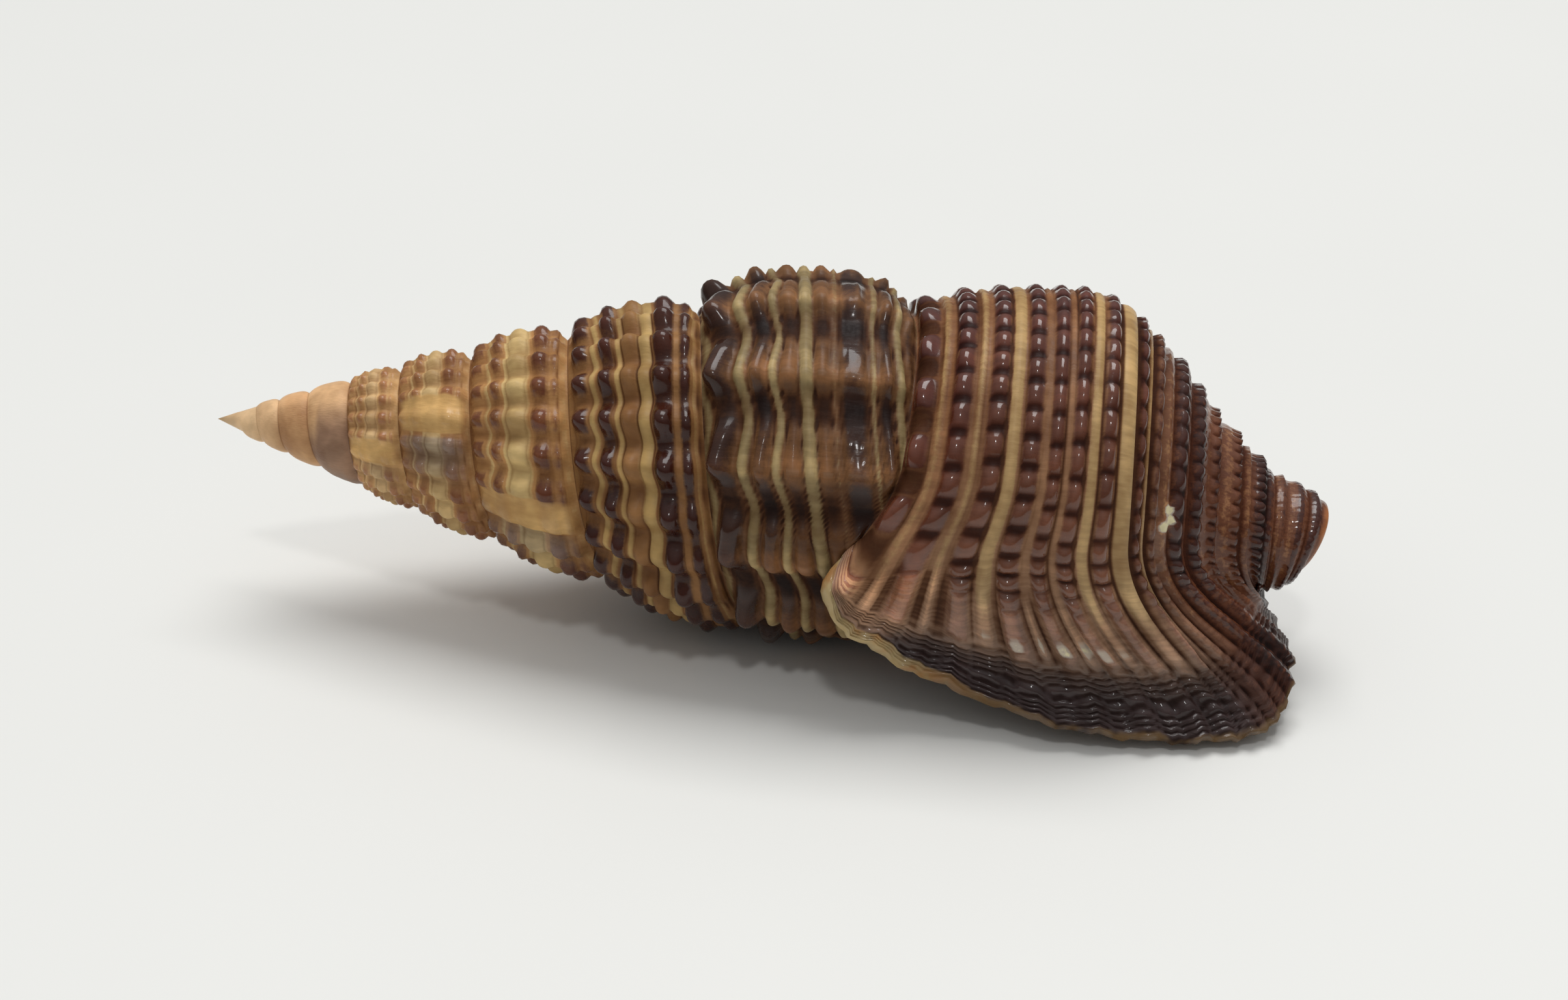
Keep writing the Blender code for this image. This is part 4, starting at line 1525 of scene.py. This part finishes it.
@dataclass
class NodeBench:
    """Places shader nodes in one tree and links them."""

    tree: bpy.types.NodeTree

    def node(self, kind: str, **settings: object) -> bpy.types.Node:
        """A new node with its settings and input values.

        Args:
            kind: Blender's name for the node.
            **settings: Node properties; names that start with in_ set an input socket.

        Returns:
            The node.
        """
        made = self.tree.nodes.new(kind)
        for name, value in settings.items():
            if name.startswith("in_"):
                key = name[3:]
                made.inputs[int(key) if key.isdigit() else key.replace("_", " ")].default_value = value
            else:
                setattr(made, name, value)
        return made

    def link(self, one: Socket, two: Socket) -> None:
        """Link one socket to another."""
        self.tree.links.new(one, two)

    def attribute(self, name: str) -> Socket:
        """Number that the mesh keeps under a name."""
        return self.node("ShaderNodeAttribute", attribute_name=name).outputs["Fac"]

    def maths(self, operation: str, one: object, two: object = 0.0, three: object = 0.0) -> Socket:
        """Result of one sum on sockets or numbers.

        Args:
            operation: Blender's name for the operation.
            one: First socket or number.
            two: Second socket or number.
            three: Third socket or number.

        Returns:
            The result's socket.
        """
        made = self.node("ShaderNodeMath", operation=operation)
        for socket, value in zip(made.inputs, (one, two, three)):
            if isinstance(value, Socket):
                self.link(value, socket)
            else:
                socket.default_value = value
        return made.outputs[0]

    def times(self, *values: object) -> Socket:
        """Product of sockets and numbers.

        Args:
            *values: The sockets and numbers, multiplied in this order.

        Returns:
            The product's socket.
        """
        product = values[0]
        for value in values[1:]:
            product = self.maths("MULTIPLY", product, value)
        return product

    def scaled(self, value: object, factor: object, more: object) -> Socket:
        """A value times a factor, plus something more."""
        return self.maths("MULTIPLY_ADD", value, factor, more)

    def ramp(self, value: Socket, low: float, high: float,
             to: Span = (0.0, 1.0)) -> Socket:
        """A value eased between two limits, as 3t^2 - 2t^3 of the share t between them.

        Args:
            value: Socket to read.
            low: Value where the change starts.
            high: Value where it ends.
            to: Results at both.

        Returns:
            The result's socket.
        """
        made = self.node("ShaderNodeMapRange", interpolation_type="SMOOTHSTEP")
        for name, number in zip(("From Min", "From Max", "To Min", "To Max"), (low, high, *to)):
            made.inputs[name].default_value = number
        self.link(value, made.inputs["Value"])
        return made.outputs["Result"]

    def mix(self, share: object, one: object, two: object, blend: str = "MIX") -> Socket:
        """One colour mixed into another.

        Args:
            share: How much of the second colour.
            one: First colour or socket.
            two: Second colour or socket.
            blend: Blender's name for the way of mixing.

        Returns:
            The mixed colour's socket.
        """
        made = self.node("ShaderNodeMix", data_type="RGBA", blend_type=blend)
        for socket, value in ((made.inputs[0], share), (made.inputs[6], one), (made.inputs[7], two)):
            if isinstance(value, Socket):
                self.link(value, socket)
            elif isinstance(value, tuple):
                socket.default_value = (*value, 1.0)
            else:
                socket.default_value = value
        return made.outputs[2]

    def palette(self, value: Socket, stops: Palette, span: float) -> Socket:
        """Colour along a line of stops.

        Args:
            value: Socket to read.
            stops: Places and colours.
            span: Place that counts as 1.

        Returns:
            The colour's socket.
        """
        made = self.node("ShaderNodeValToRGB")
        line = made.color_ramp
        while len(line.elements) < len(stops):
            line.elements.new(0.5)
        for element, (at, colour) in zip(line.elements, stops):
            element.position = at / span
            element.color = (*linear(colour), 1.0)
        self.link(self.maths("DIVIDE", value, span), made.inputs[0])
        return made.outputs[0]


def linear(colour: Colour) -> Colour:
    """Scene colour of a screen colour given from 0 to 255."""
    share = [c / 255.0 for c in colour]
    return tuple(c / 12.92 if c <= 0.04045 else ((c + 0.055) / 1.055) ** 2.4 for c in share)


class Effect(Enum):
    """Shader effects that both of the shell's finishes use."""

    GROWTH_LINES = "growth lines"
    MOTTLE = "mottle"


@dataclass
class EffectShelf:
    """Builds each shared effect once, as a shader node group."""

    built: dict[Effect, bpy.types.NodeTree] = field(default_factory=dict)

    def group(self, effect: Effect) -> bpy.types.NodeTree:
        """The node group of an effect, built when it is first asked for.

        Args:
            effect: Which effect.

        Returns:
            The group.
        """
        if effect not in self.built:
            maker = {Effect.GROWTH_LINES: self.growth_lines, Effect.MOTTLE: self.mottle}[effect]
            self.built[effect] = maker()
        return self.built[effect]

    @staticmethod
    def start(name: str, inputs: dict[str, float | None], outputs: tuple[str, ...]) -> tuple[
            bpy.types.NodeTree, NodeBench, bpy.types.Node, bpy.types.Node]:
        """A new group with its sockets.

        Args:
            name: Name of the group.
            inputs: Names and default numbers of its inputs; None makes a vector.
            outputs: Names of its number outputs.

        Returns:
            The group, its bench, and its input and output nodes.
        """
        tree = bpy.data.node_groups.new(name, "ShaderNodeTree")
        for label, value in inputs.items():
            kind = "NodeSocketVector" if value is None else "NodeSocketFloat"
            made = tree.interface.new_socket(label, in_out="INPUT", socket_type=kind)
            if value is not None:
                made.default_value = value
        for label in outputs:
            tree.interface.new_socket(label, in_out="OUTPUT", socket_type="NodeSocketFloat")
        bench = NodeBench(tree)
        return tree, bench, bench.node("NodeGroupInput"), bench.node("NodeGroupOutput")

    def growth_lines(self) -> bpy.types.NodeTree:
        """Fine uneven lines at right angles to the direction of growth.

        Formula: noise on the growth map, which is stretched so that the noise runs long
        across the whorl and short along the turn.

        Returns:
            The group.
        """
        tree, bench, source, sink = self.start(
            "growth_lines", {"Growth": None, "Lines per turn": 160.0, "Sharpness": 0.2}, ("Line",))
        parts = bench.node("ShaderNodeSeparateXYZ")
        bench.link(source.outputs["Growth"], parts.inputs[0])
        along = bench.maths("MULTIPLY", parts.outputs["X"], source.outputs["Lines per turn"])
        across = bench.maths("MULTIPLY", parts.outputs["Y"], 6.0)
        joined = bench.node("ShaderNodeCombineXYZ")
        bench.link(along, joined.inputs["X"])
        bench.link(across, joined.inputs["Y"])
        noise = bench.node("ShaderNodeTexNoise", in_Scale=1.0, in_Detail=3.0, in_Roughness=0.55)
        bench.link(joined.outputs[0], noise.inputs["Vector"])
        low = bench.maths("SUBTRACT", 0.5, source.outputs["Sharpness"])
        high = bench.maths("ADD", 0.5, source.outputs["Sharpness"])
        made = bench.node("ShaderNodeMapRange", interpolation_type="SMOOTHSTEP")
        bench.link(noise.outputs["Fac"], made.inputs["Value"])
        bench.link(low, made.inputs["From Min"])
        bench.link(high, made.inputs["From Max"])
        bench.link(made.outputs["Result"], sink.inputs["Line"])
        return tree

    def mottle(self) -> bpy.types.NodeTree:
        """Soft blotches and fine grain.

        Formula: noise on object coordinates, its scale one over the size.

        Returns:
            The group.
        """
        tree, bench, source, sink = self.start(
            "mottle", {"Blotch size": 2.0, "Grain size": 0.25}, ("Blotch", "Grain"))
        where = bench.node("ShaderNodeTexCoord")
        for label, detail, out in (("Blotch size", 3.0, "Blotch"), ("Grain size", 4.0, "Grain")):
            scale = bench.maths("DIVIDE", 1.0 / MM, source.outputs[label])
            noise = bench.node("ShaderNodeTexNoise", in_Detail=detail, in_Roughness=0.6)
            bench.link(where.outputs["Object"], noise.inputs["Vector"])
            bench.link(scale, noise.inputs["Scale"])
            bench.link(noise.outputs["Fac"], sink.inputs[out])
        return tree


@dataclass(frozen=True)
class SurfaceMaps:
    """Sockets that both finishes read.

    Attributes:
        turn: Growth turn.
        q: Place along whorl, base and spout.
        line: Growth lines, 0 to 1.
        blotch: Soft blotches, 0 to 1.
        grain: Fine grain, 0 to 1.
    """

    turn: Socket
    q: Socket
    line: Socket
    blotch: Socket
    grain: Socket


def start_finish(name: str, shelf: EffectShelf) -> tuple[
        bpy.types.Material, NodeBench, bpy.types.Node, SurfaceMaps]:
    """A new material with the maps that both finishes read.

    Args:
        name: Name of the material.
        shelf: The shared effects.

    Returns:
        The material, its bench, its surface shader and its maps.
    """
    material = bpy.data.materials.new(name)
    material.use_nodes = True
    bench = NodeBench(material.node_tree)
    growth = bench.node("ShaderNodeUVMap", uv_map="growth").outputs[0]
    parts = bench.node("ShaderNodeSeparateXYZ")
    bench.link(growth, parts.inputs[0])
    lines = bench.node("ShaderNodeGroup", node_tree=shelf.group(Effect.GROWTH_LINES))
    bench.link(growth, lines.inputs["Growth"])
    mottle = bench.node("ShaderNodeGroup", node_tree=shelf.group(Effect.MOTTLE)).outputs
    maps = SurfaceMaps(
        parts.outputs["X"], parts.outputs["Y"], lines.outputs["Line"], mottle["Blotch"], mottle["Grain"])
    return material, bench, material.node_tree.nodes["Principled BSDF"], maps


@dataclass(frozen=True)
class OutsideFinish:
    """The glossy outside: dark beaded cords, pale stripes and a dark, lined lip.

    The palettes pale, middle and dark hold growth turns with the colour there.  A Span is
    where a change starts and where it ends, in the unit of the map it is read from.
    """

    span: float = 9.6
    pale: Palette = (
        (0.0, (232, 200, 156)), (2.0, (226, 188, 140)), (3.08, (222, 182, 134)),
        (3.17, (168, 136, 112)), (3.4, (158, 128, 104)), (3.6, (212, 174, 126)),
        (4.5, (206, 172, 122)), (6.2, (204, 174, 118)), (7.2, (172, 140, 88)),
        (7.9, (142, 123, 86)), (8.4, (134, 113, 77)), (9.0, (182, 148, 98)),
        (9.26, (170, 140, 98)), (9.405, (166, 140, 108)), (9.46, (92, 74, 62)))
    middle: Palette = (
        (0.0, (228, 192, 148)), (1.9, (218, 174, 128)), (2.1, (196, 150, 106)),
        (2.4, (206, 160, 114)), (2.9, (220, 176, 128)), (3.08, (216, 172, 126)),
        (3.17, (152, 118, 94)), (3.4, (140, 110, 88)), (3.6, (204, 160, 110)),
        (4.5, (192, 150, 98)), (5.4, (166, 120, 76)), (6.2, (178, 132, 82)),
        (7.2, (142, 102, 63)), (7.9, (114, 79, 50)), (8.4, (104, 70, 44)),
        (9.0, (134, 90, 56)), (9.26, (148, 112, 84)), (9.405, (142, 112, 90)),
        (9.46, (58, 43, 42)))
    dark: Palette = (
        (0.0, (206, 160, 116)), (3.08, (190, 140, 96)), (3.17, (120, 88, 70)),
        (3.4, (112, 82, 66)), (3.6, (178, 124, 82)), (4.5, (158, 104, 66)),
        (6.2, (102, 55, 33)), (7.2, (58, 25, 16)), (7.9, (56, 32, 22)),
        (8.4, (54, 30, 20)), (9.0, (88, 38, 24)), (9.26, (112, 70, 50)),
        (9.405, (114, 82, 68)), (9.46, (34, 24, 25)))
    spout_pale: Colour = (164, 116, 78)
    spout_middle: Colour = (116, 69, 44)
    spout_dark: Colour = (70, 33, 22)
    spout_end: Colour = (184, 116, 68)
    old_lip: Colour = (206, 164, 104)
    smear: Colour = (128, 118, 108)
    # Whitish painted highlight on the lip's ridge ends and the brightest crests.
    painted_glint: Colour = (196, 184, 168)
    crumb: Colour = (226, 214, 172)
    rim_cream: Colour = (184, 160, 114)
    rim_amber: Colour = (176, 126, 74)
    rim_tan: Colour = (108, 84, 56)
    left_lip: Span = (0.14, 0.36)
    left_lip_lag: float = -0.085
    dark_from: Span = (0.18, 0.8)
    pale_from: Span = (0.18, 0.72)
    spout_from: Span = (1.0, 1.4)
    frill_from: Span = (9.57, 9.582)
    frill_places: Span = (0.2, 0.5)
    spout_end_from: Span = (3.12, 3.22)
    crumb_from: Span = (1.7, 2.3)
    gap_shade: float = 0.16
    crest_light: float = 1.6
    warmth: tuple[float, float, float] = (-0.22, 0.0, 0.15)
    roughness: float = 0.2
    satin: float = 0.22
    specular: float = 0.15
    coat: float = 0.85
    coat_roughness: float = 0.08
    bump_depth: float = 0.04

    def material(self, shelf: EffectShelf) -> bpy.types.Material:
        """Build the finish.

        Args:
            shelf: The shared effects.

        Returns:
            The material.
        """
        material, bench, surface, maps = start_finish("shell_outside", shelf)
        pigment, gap, old_lip = (bench.attribute(name) for name in ("pigment", "gap", "old_lip"))
        lag = bench.ramp(maps.q, *self.left_lip, (1.0, 0.0))
        tint = bench.scaled(lag, self.left_lip_lag, maps.turn)
        spout = bench.ramp(maps.q, *self.spout_from)
        strong = bench.ramp(maps.q, 1.0, 1.3, (0.55, 1.8))
        uneven = bench.times(bench.maths("SUBTRACT", maps.grain, 0.5), strong)
        ragged = bench.maths("ADD", uneven, pigment)
        dark = bench.ramp(ragged, *self.dark_from)
        pale = bench.ramp(bench.times(ragged, -1.0), *self.pale_from)

        colour = self.cord_colour(bench, tint, spout, pale, dark)
        colour = self.old_lip_colour(bench, maps, old_lip, colour)
        # Painted shade in the gaps and painted light on the crests multiply the colour.
        shade = self.shade(bench, maps, gap, tint, spout)
        colour = bench.mix(1.0, colour, shade, "MULTIPLY")
        # Painted highlight: whitish paint where the gap map is far below 0, on the lip's ridge ends and the
        # brightest crests.
        colour = bench.mix(bench.ramp(gap, -1.1, -0.6, (0.75, 0.0)), colour, linear(self.painted_glint))
        colour = self.edge_colour(bench, maps, colour)
        cream = bench.ramp(bench.scaled(maps.grain, 1.2, bench.times(gap, -1.0)), *self.crumb_from)
        bench.link(bench.mix(cream, colour, linear(self.crumb)), surface.inputs["Base Color"])

        self.gloss(bench, maps, gap, tint, dark, surface)
        bump = bench.node("ShaderNodeBump", in_Strength=0.25, in_Distance=self.bump_depth * MM)
        bench.link(bench.scaled(maps.grain, 0.5, maps.line), bump.inputs["Height"])
        bench.link(bump.outputs[0], surface.inputs["Normal"])
        return material

    def cord_colour(self, bench: NodeBench, tint: Socket, spout: Socket, pale: Socket,
                    dark: Socket) -> Socket:
        """Colour of cords, stripes and what lies between them.

        Args:
            bench: The material's bench.
            tint: Growth turn that the palettes are read at.
            spout: 1 on the base and spout.
            pale: 1 on pale stripes.
            dark: 1 on dark cords.

        Returns:
            The colour's socket.
        """
        middle_tone, pale_tone, dark_tone = (
            bench.mix(spout, bench.palette(tint, line, self.span), linear(end))
            for line, end in ((self.middle, self.spout_middle), (self.pale, self.spout_pale),
                              (self.dark, self.spout_dark)))
        return bench.mix(dark, bench.mix(pale, middle_tone, pale_tone), dark_tone)

    def old_lip_colour(self, bench: NodeBench, maps: SurfaceMaps, old_lip: Socket,
                       colour: Socket) -> Socket:
        """Amber patches on the old lips and grey smears behind them.

        Args:
            bench: The material's bench.
            maps: The surface's maps.
            old_lip: Above 0 on a patch and below 0 on a smear.
            colour: Colour so far.

        Returns:
            The colour's socket.
        """
        uneven = bench.scaled(bench.maths("SUBTRACT", maps.blotch, 0.5), 0.8, old_lip)
        amber = bench.times(bench.ramp(uneven, 0.25, 0.7), 0.9)
        colour = bench.mix(amber, colour, linear(self.old_lip))
        smear = bench.ramp(bench.times(old_lip, -1.0), 0.0, 1.0, (0.0, 0.75))
        return bench.mix(smear, colour, linear(self.smear))

    def shade(self, bench: NodeBench, maps: SurfaceMaps, gap: Socket, tint: Socket,
              spout: Socket) -> Socket:
        """Light and dark that multiply the colour.

        Formula: the product of growth lines, blotches, painted shade in the gaps,
        painted light on the crests, a darker base, a lighter left lip and a dusky front
        rim.  Where it darkens, red is darkened least, so that the shade stays warm.

        Args:
            bench: The material's bench.
            maps: The surface's maps.
            gap: Depth of the gaps.
            tint: Growth turn that the rim is read at.
            spout: 1 on the base and spout.

        Returns:
            The shade's socket, a colour.
        """
        lined = bench.maths("SUBTRACT", bench.ramp(maps.line, 0.0, 1.0, (0.87, 1.08)), 1.0)
        shade = bench.times(
            bench.scaled(lined, bench.ramp(maps.turn, 7.2, 7.6, (0.35, 1.0)), 1.0),
            bench.ramp(maps.blotch, 0.25, 0.75, (0.62, 1.32)),
            bench.ramp(gap, 0.15, 0.85, (1.0, self.gap_shade)),
            bench.ramp(gap, -0.5, 0.1, (self.crest_light, 1.0)),
            bench.ramp(maps.q, 1.02, 1.25, (1.0, 0.75)))
        left = bench.times(
            bench.ramp(maps.q, 0.12, 0.48, (0.6, 0.0)), bench.ramp(maps.turn, 9.2, 9.3))
        dusk = bench.times(
            spout, bench.ramp(tint, 9.4, 9.47, (0.0, 0.82)), bench.ramp(gap, -0.4, 0.05, (0.5, 1.0)))
        shade = bench.times(bench.scaled(shade, left, shade), bench.maths("SUBTRACT", 1.0, dusk))
        deep = bench.maths("MINIMUM", shade, 1.0)
        shaded = bench.node("ShaderNodeCombineColor")
        for socket, power in zip(shaded.inputs, self.warmth):
            bench.link(bench.times(shade, bench.maths("POWER", deep, power)), socket)
        return shaded.outputs[0]

    def edge_colour(self, bench: NodeBench, maps: SurfaceMaps, colour: Socket) -> Socket:
        """Cream and amber frill of the lip, tan at its front, and the spout's amber end.

        Args:
            bench: The material's bench.
            maps: The surface's maps.
            colour: Colour so far.

        Returns:
            The colour's socket.
        """
        left = bench.ramp(maps.q, *self.frill_places, (1.0, 0.0))
        edge = bench.scaled(left, 0.04, bench.scaled(maps.blotch, 0.05, maps.turn))
        edge = bench.times(bench.ramp(edge, *self.frill_from), bench.ramp(maps.q, 2.0, 1.9))
        patch = bench.ramp(maps.blotch, 0.45, 0.62)
        frill = bench.mix(patch, linear(self.rim_cream), linear(self.rim_amber))
        colour = bench.mix(edge, colour, bench.mix(left, linear(self.rim_tan), frill))
        end = bench.ramp(bench.scaled(maps.blotch, 0.3, maps.q), *self.spout_end_from)
        return bench.mix(end, colour, linear(self.spout_end))

    def gloss(self, bench: NodeBench, maps: SurfaceMaps, gap: Socket, tint: Socket, dark: Socket,
              surface: bpy.types.Node) -> None:
        """Roughness and coat: dark cords, base and rim shine, and gaps stay dull.

        Args:
            bench: The material's bench.
            maps: The surface's maps.
            gap: Depth of the gaps.
            tint: Growth turn that the rim is read at.
            dark: 1 on dark cords.
            surface: The surface shader.
        """
        hollow = bench.ramp(gap, 0.2, 0.7)
        rough = bench.ramp(maps.grain, 0.3, 0.8, (self.roughness - 0.05, self.roughness + 0.14))
        rough = bench.scaled(bench.maths("SUBTRACT", 1.0, dark), self.satin, rough)
        bench.link(bench.scaled(hollow, 0.3, rough), surface.inputs["Roughness"])
        glossy = bench.maths("MAXIMUM", dark, bench.ramp(tint, 9.36, 9.44, (0.0, 0.6)))
        glossy = bench.maths("MAXIMUM", glossy, bench.ramp(maps.q, 1.0, 1.2, (0.0, 0.7)))
        gloss = bench.times(
            bench.maths("SUBTRACT", glossy, hollow), self.coat,
            bench.ramp(maps.turn, 8.5, 8.7, (0.5, 1.0)))
        bench.link(bench.maths("MAXIMUM", gloss, 0.0), surface.inputs["Coat Weight"])
        surface.inputs["Coat Roughness"].default_value = self.coat_roughness
        surface.inputs["Specular IOR Level"].default_value = self.specular


@dataclass(frozen=True)
class ApertureFinish:
    """The smooth inside of the aperture, brown and paler towards its edge."""

    deep: Colour = (66, 42, 32)
    edge: Colour = (150, 118, 78)
    edge_from: Span = (9.46, 9.58)
    roughness: float = 0.22

    def material(self, shelf: EffectShelf) -> bpy.types.Material:
        """Build the finish.

        Args:
            shelf: The shared effects.

        Returns:
            The material.
        """
        material, bench, surface, maps = start_finish("shell_aperture", shelf)
        share = bench.ramp(bench.scaled(maps.blotch, 0.05, maps.turn), *self.edge_from)
        colour = bench.mix(share, linear(self.deep), linear(self.edge))
        shade = bench.ramp(maps.line, 0.0, 1.0, (0.85, 1.1))
        shaded = bench.node("ShaderNodeCombineColor")
        for socket in shaded.inputs[:3]:
            bench.link(shade, socket)
        bench.link(bench.mix(1.0, colour, shaded.outputs[0], "MULTIPLY"), surface.inputs["Base Color"])
        rough = bench.ramp(maps.grain, 0.3, 0.8, (self.roughness, self.roughness + 0.1))
        bench.link(rough, surface.inputs["Roughness"])
        return material


@dataclass(frozen=True)
class Studio:
    """Pale floor, soft light from above and a camera at the photograph's angle.

    Lengths are millimetres, angles degrees and powers watts.
    """

    floor_size: float = 6000.0
    floor_colour: Colour = (236, 236, 232)
    floor_darker: float = 0.97
    floor_grain: float = 40.0
    floor_roughness: float = 0.5
    target: tuple[float, float, float] = (0.975, -0.02, 6.15)
    azimuth: float = 6.6
    elevation: float = 28.0
    distance: float = 130.0
    lens: float = 69.38
    sensor: float = 36.0
    clip: Span = (10.0, 20000.0)
    sky_tint: Colour = (0.98, 0.99, 1.0)
    sky_from: Span = (0.0, 0.9)
    sky: float = 0.5
    sky_low: float = 0.12
    lamp_power: float = 4.25
    lamp_size: float = 500.0
    lamp_place: tuple[float, float, float] = (40.0, 240.0, 780.0)
    glint_power: float = 0.6
    glint_size: float = 70.0
    glint_place: tuple[float, float, float] = (40.0, -360.0, 640.0)

    def floor(self) -> None:
        """One wide pale plane under the shell."""
        half = 0.5 * self.floor_size * MM
        corners = [(-half, -half, 0), (half, -half, 0), (half, half, 0), (-half, half, 0)]
        mesh = bpy.data.meshes.new("floor")
        mesh.from_pydata(corners, [], [(0, 1, 2, 3)])
        floor = bpy.data.objects.new("floor", mesh)
        material = bpy.data.materials.new("floor_paint")
        material.use_nodes = True
        bench = NodeBench(material.node_tree)
        surface = material.node_tree.nodes["Principled BSDF"]
        where = bench.node("ShaderNodeTexCoord")
        noise = bench.node("ShaderNodeTexNoise", in_Scale=self.floor_grain, in_Detail=2.0)
        bench.link(where.outputs["Object"], noise.inputs["Vector"])
        tone = linear(self.floor_colour)
        darker = tuple(self.floor_darker * c for c in tone)
        colour = bench.mix(noise.outputs["Fac"], darker, tone)
        bench.link(colour, surface.inputs["Base Color"])
        surface.inputs["Roughness"].default_value = self.floor_roughness
        mesh.materials.append(material)
        bpy.context.scene.collection.objects.link(floor)

    def lamp(self, name: str, power: float, size: float, place: tuple[float, float, float]) -> None:
        """A square soft lamp that looks at the shell.

        Args:
            name: Name of the lamp.
            power: Power in watts.
            size: Side in millimetres.
            place: Place in millimetres.
        """
        light = bpy.data.lights.new(name, "AREA")
        light.energy, light.size = power, size * MM
        lamp = bpy.data.objects.new(name, light)
        lamp.location = Vector(place) * MM
        away = Vector(place) - Vector(self.target)
        lamp.rotation_euler = away.to_track_quat("Z", "Y").to_euler()
        bpy.context.scene.collection.objects.link(lamp)

    def lights(self) -> None:
        """Even light all round, a large lamp above and a small one for the glints."""
        world = bpy.data.worlds.new("studio")
        world.use_nodes = True
        bench = NodeBench(world.node_tree)
        backdrop = world.node_tree.nodes["Background"]
        backdrop.inputs[0].default_value = (*self.sky_tint, 1.0)
        parts = bench.node("ShaderNodeSeparateXYZ")
        bench.link(bench.node("ShaderNodeTexCoord").outputs["Object"], parts.inputs[0])
        strength = bench.ramp(parts.outputs["Z"], *self.sky_from, (self.sky_low, self.sky))
        bench.link(strength, backdrop.inputs[1])
        bpy.context.scene.world = world
        bpy.context.scene.view_settings.view_transform = "Standard"
        self.lamp("overhead_lamp", self.lamp_power, self.lamp_size, self.lamp_place)
        self.lamp("glint_lamp", self.glint_power, self.glint_size, self.glint_place)

    def camera(self) -> None:
        """Camera that looks at the shell from the photograph's side."""
        data = bpy.data.cameras.new("camera")
        data.lens, data.sensor_width = self.lens, self.sensor
        data.clip_start, data.clip_end = (MM * limit for limit in self.clip)
        camera = bpy.data.objects.new("camera", data)
        az, el = math.radians(self.azimuth), math.radians(self.elevation)
        back = Vector((math.sin(az) * math.cos(el), -math.cos(az) * math.cos(el), math.sin(el)))
        place = Matrix.Translation((Vector(self.target) + back * self.distance) * MM)
        camera.matrix_world = place @ back.to_track_quat("Z", "Y").to_matrix().to_4x4()
        bpy.context.scene.collection.objects.link(camera)
        bpy.context.scene.camera = camera


def main() -> None:
    """Build the shell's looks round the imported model, then the studio."""
    logging.basicConfig(level=logging.INFO, format="%(message)s")
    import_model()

    shell = CerithShell()
    skin = shell.build()
    shelf = EffectShelf()
    for finish in (OutsideFinish(), ApertureFinish()):
        skin.data.materials.append(finish.material(shelf))
    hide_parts(shell.node)
    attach(skin, shell.body)
    triangles = sum(len(p.vertices) - 2 for p in skin.data.polygons)
    LOG.info("shell_skin: %d triangles", triangles)

    studio = Studio()
    studio.floor()
    studio.lights()
    studio.camera()
    LOG.info("studio: floor, lamps and camera")


if __name__ == "__main__":
    main()
